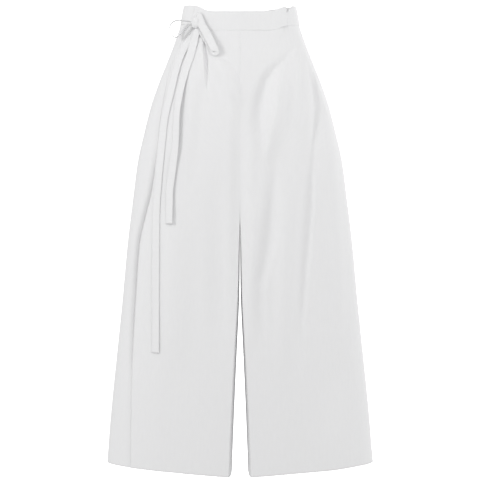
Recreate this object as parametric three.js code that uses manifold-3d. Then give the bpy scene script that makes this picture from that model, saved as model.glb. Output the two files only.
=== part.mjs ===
// Wide wrap trousers with a bow at the wearer's right hip, filled out as they hang when worn.
// Four leg panels meet at the centre, crotch and inner leg seams. At the wearer's left they are sewn
// at the side. At the wearer's right the front panel laps over the back one, with a free edge.
// A front and a back waistband carry them, and narrow ties make the bow.
// Millimetres. +Z is up and the wearer faces -Y, so the wearer's left is +X. The origin is the
// middle of the waist, halfway up the waistband at the sides.
import * as THREE from "three";
import { mergeVertices } from "three/addons/utils/BufferGeometryUtils.js";
import Module from "manifold-3d";

const wasm = await Module();
wasm.setup();

// Cloth and seams
const clothWall = 1.6;
const seamGap = 0.3;
const waistGap = 0.9;
const bandWall = 3;
const bandHeight = 42;
const bandProud = 0.8;

// Levels of the body
const bandFoot = -22;
const crotchZ = -320;
const crotchTop = { front: -210, back: -180 };
const inseamY = 5;
const hemZ = -1000;
const waistBlend = 120;
const hemBlend = 320;
const hemSideRise = 21;
const hemRiseStart = 18;
const hemRiseSpan = 272;

// Roundness of a section: 1 is an ellipse, less is squarer.
const sectionPower = 0.9;

// The ties
const tieWidth = 17;
const knotWidth = 8;
const tieWall = 1.8;
const tieClearance = 3;

// Half widths and depths of the whole garment, down the body.
const outline = [
  { at: "waist top", z: 20, side: 123, front: 87, back: 86 },
  { at: "waist seam", z: -22, side: 131, front: 90, back: 90 },
  { at: "high hip", z: -60, side: 143.5, front: 96, back: 100 },
  { at: "upper hip", z: -100, side: 159, front: 102, back: 111 },
  { at: "hip", z: -150, side: 179, front: 108, back: 121 },
  { at: "low hip", z: -200, side: 196, front: 112, back: 126 },
  { at: "seat", z: -255, side: 210, front: 114, back: 127 },
  { at: "crotch", z: -320, side: 224.5, front: 114, back: 123 },
  { at: "thigh", z: -400, side: 235, front: 112, back: 118 },
  { at: "low thigh", z: -500, side: 247, front: 110, back: 114 },
  { at: "knee", z: -620, side: 258, front: 109, back: 112 },
  { at: "calf", z: -750, side: 271, front: 110, back: 112 },
  { at: "low calf", z: -880, side: 283, front: 112, back: 114 },
  { at: "hem", z: -1000, side: 292, front: 114, back: 116 },
];

// Between the legs: how far a leg's inner face is from the middle, and the width of its corner.
const between = [
  { at: "split", z: -180, inner: 0.15, corner: 0 },
  { at: "front of crotch", z: -260, inner: 0.15, corner: 2.5 },
  { at: "crotch", z: -320, inner: 0.15, corner: 4 },
  { at: "thigh", z: -400, inner: 0.7, corner: 6 },
  { at: "low thigh", z: -500, inner: 0.8, corner: 10 },
  { at: "over knee", z: -590, inner: 1.2, corner: 16 },
  { at: "knee", z: -650, inner: 3, corner: 20 },
  { at: "under knee", z: -712, inner: 6, corner: 24 },
  { at: "calf", z: -844, inner: 12, corner: 33 },
  { at: "hem", z: -1000, inner: 18, corner: 44 },
];

// The waistband's top edge round the waist: turn 0 is the centre front, 1 the wearer's left side,
// 2 the centre back, 3 the right side and 4 the centre front again.
const bandTop = [
  { at: "centre front", turn: 0, z: 0 },
  { at: "left of front", turn: 0.36, z: 1 },
  { at: "left slit", turn: 0.62, z: 14 },
  { at: "left side", turn: 1, z: 21 },
  { at: "left back", turn: 1.4, z: 25 },
  { at: "centre back", turn: 2, z: 18 },
  { at: "right back", turn: 2.6, z: 20 },
  { at: "right side", turn: 3, z: 21 },
  { at: "right hip", turn: 3.38, z: 16 },
  { at: "right of front", turn: 3.64, z: 1 },
  { at: "centre front again", turn: 4, z: 0 },
];
const slitX = 99;
const knotX = -98;
const bandLap = 0.11;
const bandEndLift = 3.9;
const bandEndLiftSpan = 0.22;
const slitDip = 13;
const slitDipSpan = 0.17;

// The free edge of the right front panel, and how far it stands off the panel under it.
const wrapEdge = [
  { at: "knot", z: -22, x: 101, lift: 2.6 },
  { at: "under band", z: -60, x: 124, lift: 2.8 },
  { at: "upper hip", z: -110, x: 145, lift: 3 },
  { at: "hip", z: -170, x: 161, lift: 3.2 },
  { at: "low hip", z: -245, x: 174, lift: 3.6 },
  { at: "crotch", z: -319, x: 181, lift: 3.8 },
  { at: "thigh", z: -388, x: 191, lift: 4 },
  { at: "mid thigh", z: -442, x: 204, lift: 4 },
  { at: "low thigh", z: -500, x: 217, lift: 4 },
  { at: "knee", z: -622, x: 226, lift: 3.6 },
  { at: "calf", z: -719, x: 231, lift: 3.2 },
  { at: "low calf", z: -850, x: 234, lift: 3 },
  { at: "hem", z: -1000, x: 235, lift: 3 },
];
const wrapUnder = 46;
const wrapLiftSpan = 58;
const wrapUnderGap = 2.4;
const wrapSettle = { from: 58, to: 98 };

// Folds of the cloth, on the wearer's left and right leg. A fold runs from its top (x0, z0) to its
// end (x1, z1), bowed sideways by bow at its middle. height is out from the leg, or in where it is
// negative. out and in are its widths towards the side and towards the middle.
const folds = {
  left: {
    front: [
      { of: "drag line", x0: 118, z0: -66, x1: 50, z1: -300, bow: -32, height: -7, out: 20, in: 28 },
      { of: "hip ridge", x0: 94, z0: -105, x1: 56, z1: -350, bow: 2, height: 8, out: 34, in: 24 },
      { of: "pleat", x0: 146, z0: -85, x1: 152, z1: -420, bow: 18, height: -5, out: 22, in: 24 },
      { of: "inner ridge", x0: 50, z0: -330, x1: 22, z1: -760, bow: -8, height: 6, out: 30, in: 24 },
      { of: "middle ridge", x0: 118, z0: -260, x1: 100, z1: -850, bow: -10, height: 9, out: 42, in: 34 },
      { of: "side flute", x0: 176, z0: -170, x1: 196, z1: -860, bow: 22, height: 9, out: 34, in: 56 },
    ],
    back: [
      { of: "seat drag", x0: 118, z0: -80, x1: 44, z1: -250, bow: -20, height: -6, out: 24, in: 24 },
      { of: "back ridge", x0: 92, z0: -190, x1: 78, z1: -800, bow: 8, height: 9, out: 46, in: 40 },
      { of: "back side", x0: 170, z0: -210, x1: 198, z1: -880, bow: 10, height: 8, out: 36, in: 44 },
      { of: "back inner", x0: 30, z0: -400, x1: 40, z1: -860, bow: -4, height: 5, out: 36, in: 26 },
    ],
  },
  right: {
    front: [
      { of: "drag line", x0: 58, z0: -90, x1: 7, z1: -232, bow: -9, height: 6, out: 30, in: 22 },
      { of: "knot ridge", x0: 98, z0: -80, x1: 122, z1: -380, bow: -4, height: 4, out: 24, in: 26 },
      { of: "hip hollow", x0: 160, z0: -150, x1: 196, z1: -560, bow: 2, height: -4, out: 26, in: 34 },
      { of: "thigh ridge", x0: 122, z0: -330, x1: 150, z1: -860, bow: 6, height: 6, out: 44, in: 60 },
      { of: "wrap valley", x0: 178, z0: -300, x1: 234, z1: -860, bow: 20, height: -4, out: 26, in: 30 },
      { of: "inner hollow", x0: 52, z0: -300, x1: 46, z1: -820, bow: -6, height: -5, out: 40, in: 34 },
    ],
    back: [
      { of: "seat drag", x0: 120, z0: -76, x1: 40, z1: -236, bow: -16, height: -6, out: 22, in: 26 },
      { of: "back ridge", x0: 84, z0: -170, x1: 96, z1: -860, bow: -10, height: 8, out: 44, in: 42 },
      { of: "back side", x0: 160, z0: -240, x1: 206, z1: -820, bow: 6, height: 9, out: 34, in: 46 },
      { of: "back inner", x0: 36, z0: -430, x1: 34, z1: -900, bow: 4, height: 4, out: 34, in: 24 },
    ],
  },
};
const seamCalm = 26;

// The bow. Points of the ties that hang on the leg: x and z on the front panel, and the lift of the
// edge nearer the side and of the edge nearer the middle.
const shortEnd = [
  { at: "in knot", x: 86, z: -31, outEdge: 4, inEdge: 3, width: knotWidth },
  { at: "leaves knot", x: 91, z: -44, outEdge: 4.5, inEdge: 2.8, width: 0.75 * tieWidth },
  { at: "under band", x: 105, z: -85, outEdge: 4.5, inEdge: 3, width: tieWidth },
  { at: "upper hip", x: 113, z: -117, outEdge: 3.6, inEdge: 3, width: tieWidth },
  { at: "hip", x: 128, z: -186, outEdge: 2.6, inEdge: 5, width: tieWidth },
  { at: "low hip", x: 133, z: -225, outEdge: 1, inEdge: 7, width: tieWidth },
  { at: "crotch", x: 136, z: -289, outEdge: 1, inEdge: 6, width: tieWidth },
  { at: "turn", x: 143, z: -340, outEdge: 3, inEdge: 2, width: tieWidth },
  { at: "thigh", x: 149, z: -396, outEdge: 1, inEdge: 4, width: tieWidth },
  { at: "tip", x: 149, z: -458, outEdge: 0, inEdge: 6, width: tieWidth },
];
const longEnd = [
  { at: "in knot", x: 88, z: -31, outEdge: 0, inEdge: 0, width: knotWidth },
  { at: "leaves knot", x: 96, z: -45, outEdge: 0, inEdge: 0, width: 0.75 * tieWidth },
  { at: "under band", x: 109, z: -77, outEdge: 0, inEdge: 0, width: tieWidth },
  { at: "upper hip", x: 133, z: -147, outEdge: 0, inEdge: 0, width: tieWidth },
  { at: "hip", x: 148, z: -184, outEdge: 0, inEdge: 0, width: tieWidth },
  { at: "low hip", x: 162, z: -235, outEdge: 0, inEdge: 1, width: tieWidth },
  { at: "crotch", x: 169, z: -298, outEdge: 1, inEdge: 0, width: tieWidth },
  { at: "thigh", x: 176, z: -374, outEdge: 0, inEdge: 1, width: tieWidth },
  { at: "mid thigh", x: 180, z: -440, outEdge: 1, inEdge: 0, width: tieWidth },
  { at: "knee", x: 180, z: -622, outEdge: 0, inEdge: 1, width: tieWidth },
  { at: "tip", x: 180, z: -736, outEdge: 1, inEdge: 3, width: tieWidth },
];
const knot = { x: -87, z: -25, out: 7.9, halfWidth: 10, halfDepth: 7.5, halfHeight: 12 };

// The loops go out from the knot and back to it. The left one stands out past the hip: along and up
// are in the plane that faces the wearer's front, and out is away from the body. The right one
// hangs over the front: x and z are on the panel, and lift is the height over it. tilt turns the
// ribbon's width out of the way that it lies edge-on.
const leftLoop = [
  { at: "leaves knot", along: 0, up: 1, out: 0, tilt: 0 },
  { at: "upper run", along: -14, up: 3, out: 0, tilt: 0 },
  { at: "over side", along: -28, up: 5, out: -3, tilt: 0 },
  { at: "crown", along: -42, up: 6, out: -7, tilt: 0 },
  { at: "far top", along: -53, up: 0, out: -10, tilt: 0 },
  { at: "far end", along: -57, up: -11, out: -11, tilt: 0 },
  { at: "far foot", along: -53, up: -23, out: -11, tilt: 0 },
  { at: "lowest", along: -44, up: -30, out: -9, tilt: 0 },
  { at: "underside", along: -34, up: -24, out: -7, tilt: 0 },
  { at: "lower run", along: -23, up: -13, out: -4, tilt: 0 },
  { at: "back to knot", along: -12, up: -4, out: -1, tilt: 0 },
  { at: "enters knot", along: -1, up: -1, out: 0, tilt: 0 },
];
const rightLoop = [
  { at: "leaves knot", x: 86, z: -22, lift: 13, tilt: 86 },
  { at: "crown", x: 80, z: -8, lift: 16, tilt: 80 },
  { at: "over crown", x: 72, z: -12, lift: 18, tilt: 72 },
  { at: "upper run", x: 65, z: -29, lift: 18, tilt: 66 },
  { at: "droop", x: 57, z: -50, lift: 16.5, tilt: 62 },
  { at: "low", x: 49, z: -70, lift: 14.5, tilt: 62 },
  { at: "lowest", x: 49, z: -80, lift: 11, tilt: 66 },
  { at: "turned back", x: 55, z: -77, lift: 8, tilt: 70 },
  { at: "lower run", x: 63, z: -62, lift: 7.5, tilt: 74 },
  { at: "back to knot", x: 73, z: -44, lift: 9.5, tilt: 80 },
  { at: "enters knot", x: 84, z: -29, lift: 11, tilt: 86 },
];

// How finely the solids are cut
const upperRows = 8;
const crotchRows = 7;
const legRows = 15;
const sideColumns = 13;
const innerColumns = 7;
const wrapColumns = 20;
const innerZone = 44;
const bandRows = 2;
const frontBandColumns = 22;
const backBandColumns = 44;
const sectionSteps = 90;

const lerp = THREE.MathUtils.lerp;
const smoothstep = THREE.MathUtils.smoothstep;
const clamp = THREE.MathUtils.clamp;

// Value of a table's column at a key, on a smooth curve through the rows that never overshoots.
function valueAt(table, column, key, at) {
  const rows = table[0][key] <= table[table.length - 1][key] ? table : [...table].reverse();
  const last = rows.length - 1;
  const where = clamp(at, rows[0][key], rows[last][key]);
  let i = 0;
  while (i < last - 1 && rows[i + 1][key] < where) i++;
  const slope = (k) => {
    if (k < 0 || k >= last) return null;
    return (rows[k + 1][column] - rows[k][column]) / (rows[k + 1][key] - rows[k][key]);
  };
  const tangent = (k) => {
    const before = slope(k - 1);
    const after = slope(k);
    if (before === null) return after;
    if (after === null) return before;
    return before * after <= 0 ? 0 : (2 * before * after) / (before + after);
  };
  const step = rows[i + 1][key] - rows[i][key];
  const t = (where - rows[i][key]) / step;
  const a = rows[i][column];
  const b = rows[i + 1][column];
  const rise = 1 - 3 * t * t + 2 * t * t * t;
  return (
    a * rise +
    b * (1 - rise) +
    step * (t * (1 - t) * (1 - t) * tangent(i) - t * t * (1 - t) * tangent(i + 1))
  );
}

// Where the centre seam, the crotch curve or the inner leg seam runs at a level, as a depth towards
// the half's own side.
function seamDepth(half, z, depth) {
  const end = half === "front" ? -inseamY : inseamY;
  const down = clamp((crotchTop[half] - z) / (crotchTop[half] - crotchZ), 0, 1);
  return end + (depth - end) * Math.sqrt(1 - down * down);
}

// How far the folds push the cloth out at a level, at a distance along the half section.
function foldHeight(leg, half, z, along, alongAtX, length) {
  let height = 0;
  for (const fold of folds[leg > 0 ? "left" : "right"][half]) {
    if (z > fold.z0 || z < fold.z1) continue;
    const t = (z - fold.z0) / (fold.z1 - fold.z0);
    const x = lerp(fold.x0, fold.x1, t) + 4 * fold.bow * t * (1 - t);
    const off = along - alongAtX(x);
    const width = off < 0 ? fold.out : fold.in;
    if (Math.abs(off) >= width) continue;
    const fade = smoothstep(t, 0, 0.3) * (1 - smoothstep(t, 0.55, 1));
    height += fold.height * fade * 0.5 * (1 + Math.cos((Math.PI * off) / width));
  }
  return height * smoothstep(along, 0, seamCalm) * smoothstep(length - along, 0, seamCalm);
}

// A half section at a level, from the side seam to the centre seam or inner leg seam. Its points
// have x away from the middle, q towards the half's own side, and the distance along the cloth.
const sections = new Map();
function halfSection(leg, half, z) {
  const name = [leg, half, z.toFixed(4)].join();
  if (sections.has(name)) return sections.get(name);
  const side = valueAt(outline, "side", "z", z);
  const depth = valueAt(outline, half, "z", z);
  const inner = valueAt(between, "inner", "z", z);
  const corner = z > crotchTop[half] ? 0 : valueAt(between, "corner", "z", z);
  const seam = seamDepth(half, z, depth);
  const crest = inner + corner;
  const plain = [];
  for (let i = 0; i <= sectionSteps; i++) {
    const angle = (i / sectionSteps) * (Math.PI / 2);
    const x = crest + (side - crest) * Math.max(Math.cos(angle), 0) ** sectionPower;
    plain.push([x, depth * Math.sin(angle) ** sectionPower]);
  }
  for (let i = 1; i <= sectionSteps && corner > 0; i++) {
    const angle = (i / sectionSteps) * (Math.PI / 2);
    const x = crest - corner * Math.sin(angle) ** sectionPower;
    plain.push([x, seam + (depth - seam) * Math.max(Math.cos(angle), 0) ** sectionPower]);
  }
  const along = [0];
  for (let i = 1; i < plain.length; i++) {
    const run = Math.hypot(plain[i][0] - plain[i - 1][0], plain[i][1] - plain[i - 1][1]);
    along.push(along[i - 1] + run);
  }
  const length = along[along.length - 1];
  const alongAtX = (x) => {
    let i = 0;
    while (i < plain.length - 2 && plain[i + 1][0] > x) i++;
    const share = (plain[i][0] - x) / Math.max(plain[i][0] - plain[i + 1][0], 1e-9);
    return lerp(along[i], along[i + 1], clamp(share, 0, 1));
  };
  const points = plain.map(([x, q], i) => {
    const before = plain[Math.max(i - 1, 0)];
    const after = plain[Math.min(i + 1, plain.length - 1)];
    const run = Math.hypot(after[0] - before[0], after[1] - before[1]);
    const nx = (after[1] - before[1]) / run;
    const nq = (before[0] - after[0]) / run;
    const height = foldHeight(leg, half, z, along[i], alongAtX, length);
    return { x: x + nx * height, q: q + nq * height, nx, nq, along: along[i] };
  });
  const made = { points, length, alongAtX, split: Math.min(along[sectionSteps], length - innerZone) };
  sections.set(name, made);
  return made;
}

// Height of the top edge and of the foot of the waistband, by turn round the waist.
const topEdge = (turn) => valueAt(bandTop, "z", "turn", ((turn % 4) + 4) % 4);
const waistSeam = (turn) => topEdge(turn) - bandHeight;

// Turn round the waist of a place on a half section.
function turnOf(leg, half, share) {
  const quarter = half === "front" ? 1 - share : 1 + share;
  return leg > 0 ? quarter : 4 - quarter;
}

// The place on a half section at a distance along it: x away from the middle, the point in plan and
// the level way out of the garment.
function placeOn(leg, half, along, z) {
  const { points, length } = halfSection(leg, half, z);
  const at = clamp(along, 0, length);
  let i = 0;
  while (i < points.length - 2 && points[i + 1].along < at) i++;
  const a = points[i];
  const b = points[i + 1];
  const t = clamp((at - a.along) / Math.max(b.along - a.along, 1e-9), 0, 1);
  const way = half === "front" ? -1 : 1;
  const x = lerp(a.x, b.x, t);
  const out = new THREE.Vector3(lerp(a.nx, b.nx, t) * leg, lerp(a.nq, b.nq, t) * way, 0).normalize();
  return { x, out, plan: new THREE.Vector3(x * leg, lerp(a.q, b.q, t) * way, 0), share: at / length };
}

// A point of the cloth's outer face, moved out by lift, with the level way out of the garment there.
// z is its level before the waist seam and the hem bend it up or down.
function clothPoint(leg, half, along, z, lift = 0) {
  const { x, out, plan, share } = placeOn(leg, half, along, z);
  const atWaist = 1 - smoothstep(bandFoot - z, 0, waistBlend);
  const atHem = 1 - smoothstep(z - hemZ, 0, hemBlend);
  const waistShift = waistSeam(turnOf(leg, half, share)) - bandFoot;
  const hemShift = hemSideRise * clamp((x - hemRiseStart) / hemRiseSpan, 0, 1);
  const point = plan.setZ(z + waistShift * atWaist + hemShift * atHem).addScaledVector(out, lift);
  return { point, out };
}

// Levels of a panel's rows, closer together where the crotch curve turns under.
function panelLevels() {
  const levels = [];
  const top = crotchTop.front;
  for (let i = 0; i < upperRows; i++) levels.push(lerp(bandFoot - waistGap, top, i / upperRows));
  for (let i = 0; i < crotchRows; i++) {
    levels.push(top + (crotchZ - top) * Math.sin(((i / crotchRows) * Math.PI) / 2));
  }
  for (let i = 0; i <= legRows; i++) {
    levels.push(lerp(crotchZ, hemZ, (i / legRows) ** 1.15));
  }
  return levels;
}

// Distances along a section for a row's columns: some from the start to the split, the rest on to
// the centre or inner seam.
function columnsAlong(start, section, outer) {
  const row = [];
  for (let c = 0; c < outer; c++) row.push(lerp(start, section.split, c / outer));
  const end = section.length - seamGap / 2;
  for (let c = 0; c <= innerColumns; c++) row.push(lerp(section.split, end, c / innerColumns));
  return row;
}

// Reverses every triangle of an index list.
function reversed(index) {
  const turned = [...index];
  for (let i = 0; i < turned.length; i += 3) {
    [turned[i + 1], turned[i + 2]] = [turned[i + 2], turned[i + 1]];
  }
  return turned;
}

// Six times the volume inside a closed triangle list.
function signedVolume(points, index) {
  let sum = 0;
  for (let i = 0; i < index.length; i += 3) {
    const [a, b, c] = [points[index[i]], points[index[i + 1]], points[index[i + 2]]];
    sum += a.dot(new THREE.Vector3().crossVectors(b, c));
  }
  return sum;
}

// A geometry from points and triangles, with its faces turned outwards.
function geometryOf(points, index) {
  const facing = signedVolume(points, index) < 0 ? reversed(index) : index;
  const geometry = new THREE.BufferGeometry().setFromPoints(points);
  geometry.setIndex(facing);
  geometry.computeVertexNormals();
  return geometry;
}

// A wall of even thickness behind a grid of { point, out }: the grid is its outer face. Its two
// side edges are cut square to the section, so that neighbours meet edge to edge.
function wall(grid, thickness) {
  const rows = grid.length;
  const columns = grid[0].length;
  const points = [];
  for (const row of grid) for (const { point } of row) points.push(point);
  for (let r = 0; r < rows; r++) {
    for (let c = 0; c < columns; c++) {
      if (c === 0 || c === columns - 1) {
        points.push(grid[r][c].point.clone().addScaledVector(grid[r][c].out, -thickness));
        continue;
      }
      const down = grid[Math.min(r + 1, rows - 1)][c].point.clone();
      down.sub(grid[Math.max(r - 1, 0)][c].point);
      const across = grid[r][c + 1].point.clone().sub(grid[r][c - 1].point);
      const normal = down.cross(across).normalize();
      if (normal.dot(grid[r][c].out) < 0) normal.negate();
      points.push(grid[r][c].point.clone().addScaledVector(normal, -thickness));
    }
  }
  const back = rows * columns;
  const at = (r, c) => r * columns + c;
  const index = [];
  const quad = (a, b, c, d) => index.push(a, b, c, a, c, d);
  for (let r = 0; r < rows - 1; r++) {
    for (let c = 0; c < columns - 1; c++) {
      quad(at(r, c), at(r + 1, c), at(r + 1, c + 1), at(r, c + 1));
      quad(at(r, c) + back, at(r, c + 1) + back, at(r + 1, c + 1) + back, at(r + 1, c) + back);
    }
  }
  for (let r = 0; r < rows - 1; r++) {
    quad(at(r, 0), at(r, 0) + back, at(r + 1, 0) + back, at(r + 1, 0));
    const e = columns - 1;
    quad(at(r, e), at(r + 1, e), at(r + 1, e) + back, at(r, e) + back);
  }
  for (let c = 0; c < columns - 1; c++) {
    quad(at(0, c), at(0, c + 1), at(0, c + 1) + back, at(0, c) + back);
    const e = rows - 1;
    quad(at(e, c), at(e, c) + back, at(e, c + 1) + back, at(e, c + 1));
  }
  return geometryOf(points, index);
}

// A sewn leg panel, from the side seam to the centre and inner leg seams.
function sewnPanel(leg, half) {
  const grid = panelLevels().map((z) => {
    const runs = columnsAlong(seamGap / 2, halfSection(leg, half, z), sideColumns);
    return runs.map((along) => clothPoint(leg, half, along, z));
  });
  return wall(grid, clothWall);
}

// How far the lapping panel stands out, by distance in from its free edge.
function wrapLift(z, fromEdge) {
  const edge = valueAt(wrapEdge, "lift", "z", z);
  const standing = (edge - wrapUnderGap) * (1 - smoothstep(fromEdge, 0, wrapLiftSpan));
  return standing + wrapUnderGap * (1 - smoothstep(fromEdge, wrapSettle.from, wrapSettle.to));
}

// The right front panel, which laps over the back one and ends in a free edge.
function lappingPanel() {
  const grid = panelLevels().map((z) => {
    const section = halfSection(-1, "front", z);
    const edge = section.alongAtX(valueAt(wrapEdge, "x", "z", z));
    const runs = columnsAlong(edge, section, sideColumns);
    return runs.map((along) => clothPoint(-1, "front", along, z, wrapLift(z, along - edge)));
  });
  return wall(grid, clothWall);
}

// The right back panel, which goes round the side and on under the front one.
function lappedPanel() {
  const grid = panelLevels().map((z) => {
    const front = halfSection(-1, "front", z);
    const under = front.alongAtX(valueAt(wrapEdge, "x", "z", z)) + wrapUnder;
    const runs = columnsAlong(-under, halfSection(-1, "back", z), wrapColumns);
    return runs.map((run) => clothPoint(-1, run < 0 ? "front" : "back", Math.abs(run), z));
  });
  return wall(grid, clothWall);
}

// A point on the waistband's outer face at a turn round the waist and a height in it.
function bandPoint(turn, height, lift) {
  const around = ((turn % 4) + 4) % 4;
  const leg = around < 2 ? 1 : -1;
  const quarter = leg > 0 ? around : 4 - around;
  const half = quarter < 1 ? "front" : "back";
  const share = half === "front" ? 1 - quarter : quarter - 1;
  const level = bandFoot + clamp(height, 0, bandHeight);
  const { out, plan } = placeOn(leg, half, share * halfSection(leg, half, level).length, level);
  const point = plan.setZ(waistSeam(around) + height).addScaledVector(out, bandProud + lift);
  return { point, out };
}

// Turn round the front of the waist at which the band crosses an x.
function turnAtX(x) {
  const section = halfSection(1, "front", bandFoot + bandHeight / 2);
  const share = 1 - section.alongAtX(Math.abs(x)) / section.length;
  return x < 0 ? -share : share;
}

const slitTurn = turnAtX(slitX);
const knotTurn = turnAtX(knotX);

// The front waistband laps over the back one at both hips.
function frontBand() {
  const grid = [];
  for (let r = 0; r <= bandRows; r++) {
    const row = [];
    for (let c = 0; c <= frontBandColumns; c++) {
      const turn = lerp(knotTurn, slitTurn, c / frontBandColumns);
      const fromEnd = Math.min(turn - knotTurn, slitTurn - turn);
      const lift = bandEndLift * (1 - smoothstep(fromEnd, bandLap, bandLap + bandEndLiftSpan));
      row.push(bandPoint(turn, bandHeight * (1 - r / bandRows), lift));
    }
    grid.push(row);
  }
  return wall(grid, bandWall);
}

// The back waistband goes from under the slit at the left hip round the back to under the knot.
// Its top edge drops beside the slit, where it is drawn through.
function backBand() {
  const grid = [];
  const start = slitTurn - bandLap;
  const end = 4 + knotTurn + bandLap;
  for (let r = 0; r <= bandRows; r++) {
    const row = [];
    for (let c = 0; c <= backBandColumns; c++) {
      const turn = lerp(start, end, c / backBandColumns);
      const dip = slitDip * (1 - smoothstep(turn - slitTurn, 0, slitDipSpan));
      row.push(bandPoint(turn, (bandHeight - dip) * (1 - r / bandRows), 0));
    }
    grid.push(row);
  }
  return wall(grid, bandWall);
}

// A closed strip from its four long edges, each a list of points.
function stripSolid(edges) {
  const points = [];
  const steps = edges[0].length;
  for (let i = 0; i < steps; i++) for (const edge of edges) points.push(edge[i]);
  const index = [];
  const quad = (a, b, c, d) => index.push(a, b, c, a, c, d);
  for (let i = 0; i < steps - 1; i++) {
    for (let k = 0; k < 4; k++) {
      const next = (k + 1) % 4;
      quad(4 * i + k, 4 * i + next, 4 * i + 4 + next, 4 * i + 4 + k);
    }
  }
  quad(0, 3, 2, 1);
  const last = 4 * (steps - 1);
  quad(last, last + 1, last + 2, last + 3);
  return geometryOf(points, index);
}

// A point on the outside of the right leg's front or of the band over it, moved out by lift.
function outsidePoint(x, z, lift) {
  const seam = waistSeam(turnAtX(-x) + 4);
  if (z > seam) {
    const turn = turnAtX(-x);
    return bandPoint(turn + 4, z - seam, bandEndLift + lift).point;
  }
  const level = Math.min(z + (bandFoot - seam) * (1 - smoothstep(seam - z, 0, waistBlend)), bandFoot);
  const { alongAtX } = halfSection(-1, "front", level);
  const along = alongAtX(x);
  const edge = alongAtX(valueAt(wrapEdge, "x", "z", level));
  return clothPoint(-1, "front", along, level, wrapLift(level, Math.max(along - edge, 0)) + lift).point;
}

// The level way out from the band at an x on the right of the front.
const outsideWay = (x) => bandPoint(turnAtX(-x) + 4, bandHeight / 2, 0).out;

// A tie that hangs down the leg: its edges follow the panel's own face, moved out.
function hangingTie(stations, steps) {
  const edges = [[], [], [], []];
  const top = stations[0].z;
  const foot = stations[stations.length - 1].z;
  for (let i = 0; i <= steps; i++) {
    const z = lerp(top, foot, i / steps);
    const x = valueAt(stations, "x", "z", z);
    const slant = valueAt(stations, "x", "z", z - 2) - valueAt(stations, "x", "z", z + 2);
    const halfWidth = valueAt(stations, "width", "z", z) / 2;
    const across = new THREE.Vector2(4, slant).normalize().multiplyScalar(halfWidth);
    const outLift = tieClearance + valueAt(stations, "outEdge", "z", z);
    const inLift = tieClearance + valueAt(stations, "inEdge", "z", z);
    edges[0].push(outsidePoint(x + across.x, z + across.y, outLift));
    edges[1].push(outsidePoint(x + across.x, z + across.y, outLift + tieWall));
    edges[2].push(outsidePoint(x - across.x, z - across.y, inLift + tieWall));
    edges[3].push(outsidePoint(x - across.x, z - across.y, inLift));
  }
  return stripSolid(edges);
}

// Where the knot sits, and the ways along the band and out from it there.
const knotPlace = { point: outsidePoint(-knot.x, knot.z, 0), out: outsideWay(-knot.x) };
const knotOut = knotPlace.out;
const knotAlong = new THREE.Vector3(-knotOut.y, knotOut.x, 0);
const knotCentre = knotPlace.point.clone().addScaledVector(knotOut, knot.out);
const facing = new THREE.Vector3(0, -1, 0);

// Where a station of a loop is: out from the knot, or over the panel.
function loopPlace(station) {
  if (station.lift !== undefined) return outsidePoint(station.x, station.z, station.lift);
  const { along, up, out } = station;
  return knotCentre.clone().add(new THREE.Vector3(along, -out, up));
}

// A ribbon loop of the bow: a smooth path through its stations with its width turned by tilt.
function bowLoop(stations, steps) {
  const path = new THREE.CatmullRomCurve3(stations.map(loopPlace));
  const edges = [[], [], [], []];
  for (let i = 0; i <= steps; i++) {
    const t = i / steps;
    const place = path.getPoint(t);
    const run = path.getTangent(t);
    const side = facing.clone().addScaledVector(run, -facing.dot(run)).normalize();
    const tilt = THREE.MathUtils.degToRad(tiltAt(stations, t));
    side.applyAxisAngle(run, tilt);
    const normal = new THREE.Vector3().crossVectors(run, side).normalize();
    const corner = (w, n) =>
      place
        .clone()
        .addScaledVector(side, (w * tieWidth) / 2)
        .addScaledVector(normal, (n * tieWall) / 2);
    edges[0].push(corner(-1, -1));
    edges[1].push(corner(-1, 1));
    edges[2].push(corner(1, 1));
    edges[3].push(corner(1, -1));
  }
  return stripSolid(edges);
}

// Tilt along a loop, station by station.
function tiltAt(stations, t) {
  const place = t * (stations.length - 1);
  const i = Math.min(Math.floor(place), stations.length - 2);
  return lerp(stations[i].tilt, stations[i + 1].tilt, place - i);
}

// The knot is a rounded cushion of cloth, grown by extra for cutting the ties clear of it.
function knotBall(extra) {
  const ball = new THREE.SphereGeometry(1, 20, 12);
  ball.scale(knot.halfWidth + extra, knot.halfDepth + extra, knot.halfHeight + extra);
  const turn = new THREE.Matrix4().makeBasis(knotAlong, knotOut.clone().negate(), new THREE.Vector3(0, 0, 1));
  ball.applyMatrix4(turn);
  ball.translate(knotCentre.x, knotCentre.y, knotCentre.z);
  return ball;
}

// A closed geometry as a solid that can be cut, and back.
function solidOf(geometry) {
  const bare = geometry.clone();
  bare.deleteAttribute("normal");
  bare.deleteAttribute("uv");
  const merged = mergeVertices(bare, 1e-4);
  return new wasm.Manifold(
    new wasm.Mesh({
      numProp: 3,
      vertProperties: new Float32Array(merged.attributes.position.array),
      triVerts: new Uint32Array(merged.index.array),
    }),
  );
}
function geometryFrom(solid) {
  const mesh = solid.getMesh();
  const geometry = new THREE.BufferGeometry();
  geometry.setAttribute("position", new THREE.BufferAttribute(mesh.vertProperties, 3));
  geometry.setIndex(new THREE.BufferAttribute(mesh.triVerts, 1));
  geometry.computeVertexNormals();
  return geometry;
}

// A geometry with others cut out of it, and only its largest part kept.
function cutClear(geometry, ...cutters) {
  let solid = solidOf(geometry);
  for (const cutter of cutters) solid = solid.subtract(solidOf(cutter));
  const parts = solid.decompose().sort((a, b) => b.volume() - a.volume());
  return geometryFrom(parts[0]);
}

const clothColour = 0xe9e9ea;
const garment = new THREE.Group();

function addPiece(name, geometry, colour = clothColour) {
  const material = new THREE.MeshStandardMaterial({ color: colour, roughness: 0.92, metalness: 0 });
  material.side = THREE.DoubleSide;
  const mesh = new THREE.Mesh(geometry, material);
  mesh.name = name;
  garment.add(mesh);
}

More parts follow.
